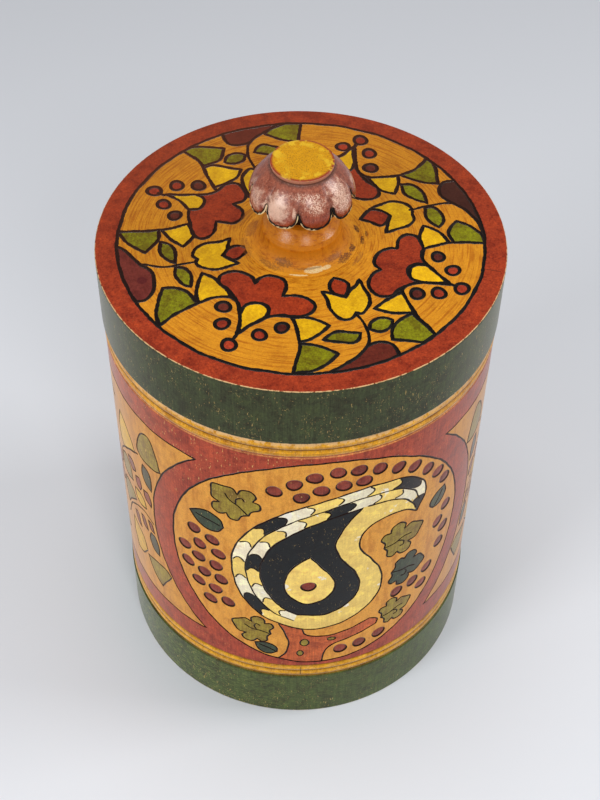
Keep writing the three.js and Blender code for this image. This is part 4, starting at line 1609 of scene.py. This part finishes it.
LID_SIDE_TOP = LID_TOP - 0.8
KNOT_PATCH = (-157.5, 56.7, 1.9, 1.9, 0.5)
CRACK_PATCH = (-12.6, 65.5, 0.16, 3.6, 0.9)


def lid_wear(finish, x, y, z):
    """Flecks crowd on the side towards the front and its lower edge, and few lie on the face."""
    side = z.short_of(LID_SIDE_TOP, 0.6)
    low = z.short_of(LID_BOTTOM + 12, 12)
    return 0.25 + side * (0.2 + 0.3 * y.short_of(0.0, 60) + 0.35 * low), side * 0.5


def lid_spots(finish, x, y, z):
    """Painted shade towards the back and the back left of the face, stains and darker patches beside
    the knob's foot, a dark knot, a painted reflection on the side at both edges, and a crack near
    the rim."""
    grit = finish.noise(finish.vector(x, y, z), 2.4, 3.0, 0.7)
    face = z.above(LID_TOP - 1, LID_TOP - 0.7)
    # Painted shade: the face is coloured darker towards the back and the back left.
    back = y.above(-15, 60) * 0.25 + (0.0 - x).above(-10, 60) * y.above(-50, 0) * 0.15
    knot = finish.round_patch(x, y, *KNOT_PATCH)
    # Painted reflection: a pale haze on the lid's side towards its left and right edges.
    painted_side_reflection = x.size().above(40, 70) * z.short_of(LID_SIDE_TOP, 0.6)
    crack = finish.round_patch(x, y, *CRACK_PATCH)
    return [(back * face, LID_SHADE), *foot_stains_and_patches(finish, x, y, grit, face),
            (knot * face * 0.6, LID_KNOT), (painted_side_reflection * 0.2, LID_SIDE_REFLECTION), (crack * 0.85, RIM_CRACK)]


def jar_wear(finish, x, y, z):
    """Flecks and upright dashes crowd on the left and top of the red and low and left on the foot."""
    high = z.above(95, 160)
    left = (10.0 - x).above(-30, 60)
    foot = z.short_of(26.0, 4)
    low = z.short_of(16.0, 14)
    return 0.35 + 0.4 * low + 0.8 * foot * left, 0.35 + 0.9 * high * left + 0.3 * low + 0.5 * foot * left


def jar_spots(finish, x, y, z):
    """Brush marks on the foot, a pale painted reflection at the left, a grey painted reflection at
    the right, and a short upright crack in the lower reeds."""
    brushed = finish.noise(finish.vector(x * 0.5, y * 0.5, z * 1.5), 1.0, 4.0, 0.7)
    foot = z.short_of(26.0, 1)
    light = brushed.past(0.5, 0.12) * foot * (0.15 + 0.5 * (0.0 - x).above(-20, 60))
    dark = brushed.short_of(0.47, 0.1) * foot
    field = z.above(26.4, 27.4)
    # Painted reflections: a pale haze at the left of the red field and a grey one at its right.
    painted_side_reflection = (0.0 - x).above(34, 70) * field
    painted_right_reflection = x.above(30, 66) * field
    crack = (x - 1.4 - 0.03 * z).size().short_of(0.2, 0.12) * (z - 30.4).size().short_of(3.2, 0.6)
    return [(light, FOOT_LIGHT), (dark * 0.4, FOOT_DARK), (painted_side_reflection * 0.16, JAR_LEFT_REFLECTION),
            (painted_right_reflection * 0.3, JAR_RIGHT_REFLECTION), (crack * y.short_of(0.0, 1) * 0.9, REED_CRACK)]


def bare_wood(name):
    """Turned wood left bare, with fine tool rings."""
    finish = Finish(name)
    x, y, z = finish.parts(finish.place())
    grain = finish.noise(round_streaks(finish, x, y, z), 1.0, 3.0, 0.6)
    colour = finish.blend(grain.above(0.35, 0.65), linear(BARE_DARK), linear(BARE_LIGHT))
    finish.set(Base_Color=colour, Roughness=0.6)
    finish.bump(grain, strength=0.3, distance=0.3 * MM)
    return finish.material


def petal_rubs_and_highlights(height, radius, turn, mottle, grit):
    """Where the petals are painted pale, for rubbed paint and as painted highlights, from 0 up."""
    grains = grit.past(0.44, 0.14)
    wobble = (mottle - 0.5) * 2.0
    rubbed = 0.0
    for degrees, middle, along, tall, share, grainy in PETAL_RUBS_AND_HIGHLIGHTS:
        run = (turn - math.radians(degrees)) * (radius / along)
        rise = (height - middle) / tall
        patch = (run * run + rise * rise).short_of(1.0 + wobble, 1.1) * share
        rubbed = rubbed + patch * (1.0 - grainy * (1.0 - grains))
    return rubbed


def varnished_knob(name):
    """The knob's paint and golden stain under glossy varnish, with pale patches on its petals that
    are partly rubbed paint and partly painted highlight, and chips, stains and darker patches on its
    foot.
    """
    finish = Finish(name)
    place = finish.place()
    x, y, z = finish.parts(place)
    cut = finish.channels(finish.attribute("marks"))[1]
    paint = finish.attribute("paint")
    height = z - LID_TOP
    radius = from_axis(x, y)
    mottle = finish.noise(place, 0.55, 5.0, 0.7)
    grit = finish.noise(place, 2.4, 3.0, 0.7)
    upright = finish.noise(finish.vector(x * 1.5, y * 1.5, z * 0.22), 1.0, 3.0, 0.65)
    grain = finish.noise(round_streaks(finish, x, y, z), 1.0, 4.0, 0.65)
    petals = height.above(18.4, 18.6) * height.short_of(32.2, 0.1) * (1 - cut)
    top = height.above(33.6, 33.8)
    gold = height.short_of(18.5, 0.2)
    foot = height.short_of(7.4, 0.6)
    neck = gold * (1 - foot)

    colour = finish.tinted(
        paint,
        (mottle.short_of(0.5, 0.16) * (0.3 + 0.4 * petals), (0.6, 0.48, 0.44)),
        (mottle.past(0.54, 0.12) * 0.4, (1.3, 1.3, 1.2)),
        (upright.past(0.52, 0.1) * petals * 0.5, (1.4, 1.5, 1.55)),
        (upright.short_of(0.48, 0.1) * petals * 0.6, (0.55, 0.42, 0.42)))
    # Pale patches on the petals: rubbed paint, and painted highlights where they are smooth.
    rubbed = petal_rubs_and_highlights(height, radius, finish.angle(x, y), mottle, grit)
    colour = finish.stained(
        colour,
        (rubbed.above(0.0, 1.0) * petals * 0.85, PETAL_RUB_AND_HIGHLIGHT),
        (grit.past(0.6, 0.06) * petals * 0.4, PETAL_GRAINS))
    colour = finish.tinted(
        colour,
        (grain.short_of(0.5, 0.16) * gold * 0.8, (0.66, 0.5, 0.36)),
        (grain.past(0.54, 0.16) * gold * 0.5, (1.25, 1.35, 1.3)))
    bright = finish.noise(place, 0.24, 3.0, 0.6).past(0.5, 0.1) * radius.above(4, 10)
    colour = finish.stained(
        colour,
        (grit.short_of(0.42, 0.04) * top * 0.85, TOP_PITS),
        (bright * top * 0.6, TOP_BRIGHT),
        *foot_stains_and_patches(finish, x, y, grit, foot))
    finish.set(Base_Color=colour, Roughness=0.26 + 0.18 * mottle + 0.2 * cut + 0.22 * foot - 0.14 * neck,
               Specular_IOR_Level=0.2, Coat_Weight=0.7 * petals + 0.3 * neck + 0.06 * foot,
               Coat_Roughness=0.24)
    finish.bump(mottle + 0.4 * grit + 0.4 * upright * petals, strength=0.3, distance=0.4 * MM)
    return finish.material


def foot_stains_and_patches(finish, x, y, grit, area):
    """Chips in the varnish, dark stains of old glue and, at the left, darker brown patches, as layers
    (share, colour) over an area. They lie on the knob's foot and run on over the lid beside it."""
    grainy = 0.45 + 0.55 * grit.past(0.42, 0.1)
    return [(finish.round_patch(x, y, *patch) * grainy * area * share, stain)
            for *patch, share, stain in STAINS_AND_PATCHES]


# The stage: a pale floor, three soft lamps round the canister, one over it, and a soft surround

def floor():
    """A pale floor whose colour darkens slowly away from the camera, a painted falloff of the light."""
    finish = Finish("pale_floor")
    _, y, _ = finish.parts(finish.place())
    # Painted shade: the floor's colour goes from near to far as the light would fall off.
    colour = finish.blend(y.above(-420, 700), linear(FLOOR_NEAR), linear(FLOOR_FAR))
    finish.set(Base_Color=colour, Roughness=0.9, Specular_IOR_Level=0.1)
    mesh = bpy.data.meshes.new("floor")
    far = 30.0
    corners = [(-far, -far, 0), (far, -far, 0), (far, far, 0), (-far, far, 0)]
    mesh.from_pydata(corners, [], [(0, 1, 2, 3)])
    mesh.materials.append(finish.material)
    made = bpy.data.objects.new("floor", mesh)
    bpy.context.scene.collection.objects.link(made)


def lamp(name, place, size, power):
    """A square soft lamp that faces the canister's lid."""
    light = bpy.data.lights.new(name, "AREA")
    light.shape = "RECTANGLE"
    light.size, light.size_y = size
    light.energy = power
    made = bpy.data.objects.new(name, light)
    made.location = place
    target = Vector((0, 0, 0.15))
    made.rotation_euler = (target - made.location).to_track_quat("-Z", "Y").to_euler()
    bpy.context.scene.collection.objects.link(made)


def surround():
    """An even, faintly blue light from all sides."""
    world = bpy.data.worlds.new("surround")
    world.use_nodes = True
    back = world.node_tree.nodes["Background"]
    back.inputs["Color"].default_value = (0.97, 0.98, 1.0, 1)
    back.inputs["Strength"].default_value = 0.4
    bpy.context.scene.world = world


def camera():
    """The photograph's view. The focal length is in pixels of a frame 800 high."""
    focal_pixels, frame_height, sensor = 1461.5477, 800, 36.0
    pitch, pan, roll = 0.8505, 0.0013, 0.0159
    forward = Vector((math.sin(pan) * math.cos(pitch), math.cos(pan) * math.cos(pitch), -math.sin(pitch)))
    level = forward.cross(Vector((0, 0, 1))).normalized()
    upright = level.cross(forward)
    right = level * math.cos(roll) + upright * math.sin(roll)
    up = upright * math.cos(roll) - level * math.sin(roll)
    data = bpy.data.cameras.new("camera")
    data.sensor_fit = "VERTICAL"
    data.sensor_height = sensor
    data.lens = focal_pixels / frame_height * sensor
    made = bpy.data.objects.new("camera", data)
    turn = Matrix((right, up, -forward)).transposed().to_4x4()
    place = (0, -0.369236, 0.53375)
    made.matrix_world = Matrix.Translation(place) @ turn
    bpy.context.scene.collection.objects.link(made)
    bpy.context.scene.camera = made


camera()
scene = bpy.context.scene
scene.view_settings.view_transform = "Standard"
floor()
surround()
lamp("left_softbox", (-0.95, -0.8, 0.95), (0.5, 0.5), 7.6)
lamp("right_softbox", (1.15, 0.05, 0.95), (0.5, 0.5), 7.0)
lamp("front_softbox", (0.35, -1.1, 1.15), (0.3, 0.3), 4.0)
lamp("overhead", (-0.1, 0.1, 1.5), (0.7, 0.7), 4.4)

painted_lid(painted_wood("painted_lid", round_streaks, lid_wear, lid_spots, figure=0.85, sheen=0.34))
painted_jar(painted_wood("painted_jar", upright_streaks, jar_wear, jar_spots, figure=0.5, sheen=0.45))
base_disc(bare_wood("bare_wood"))
petalled_knob(varnished_knob("painted_knob"))
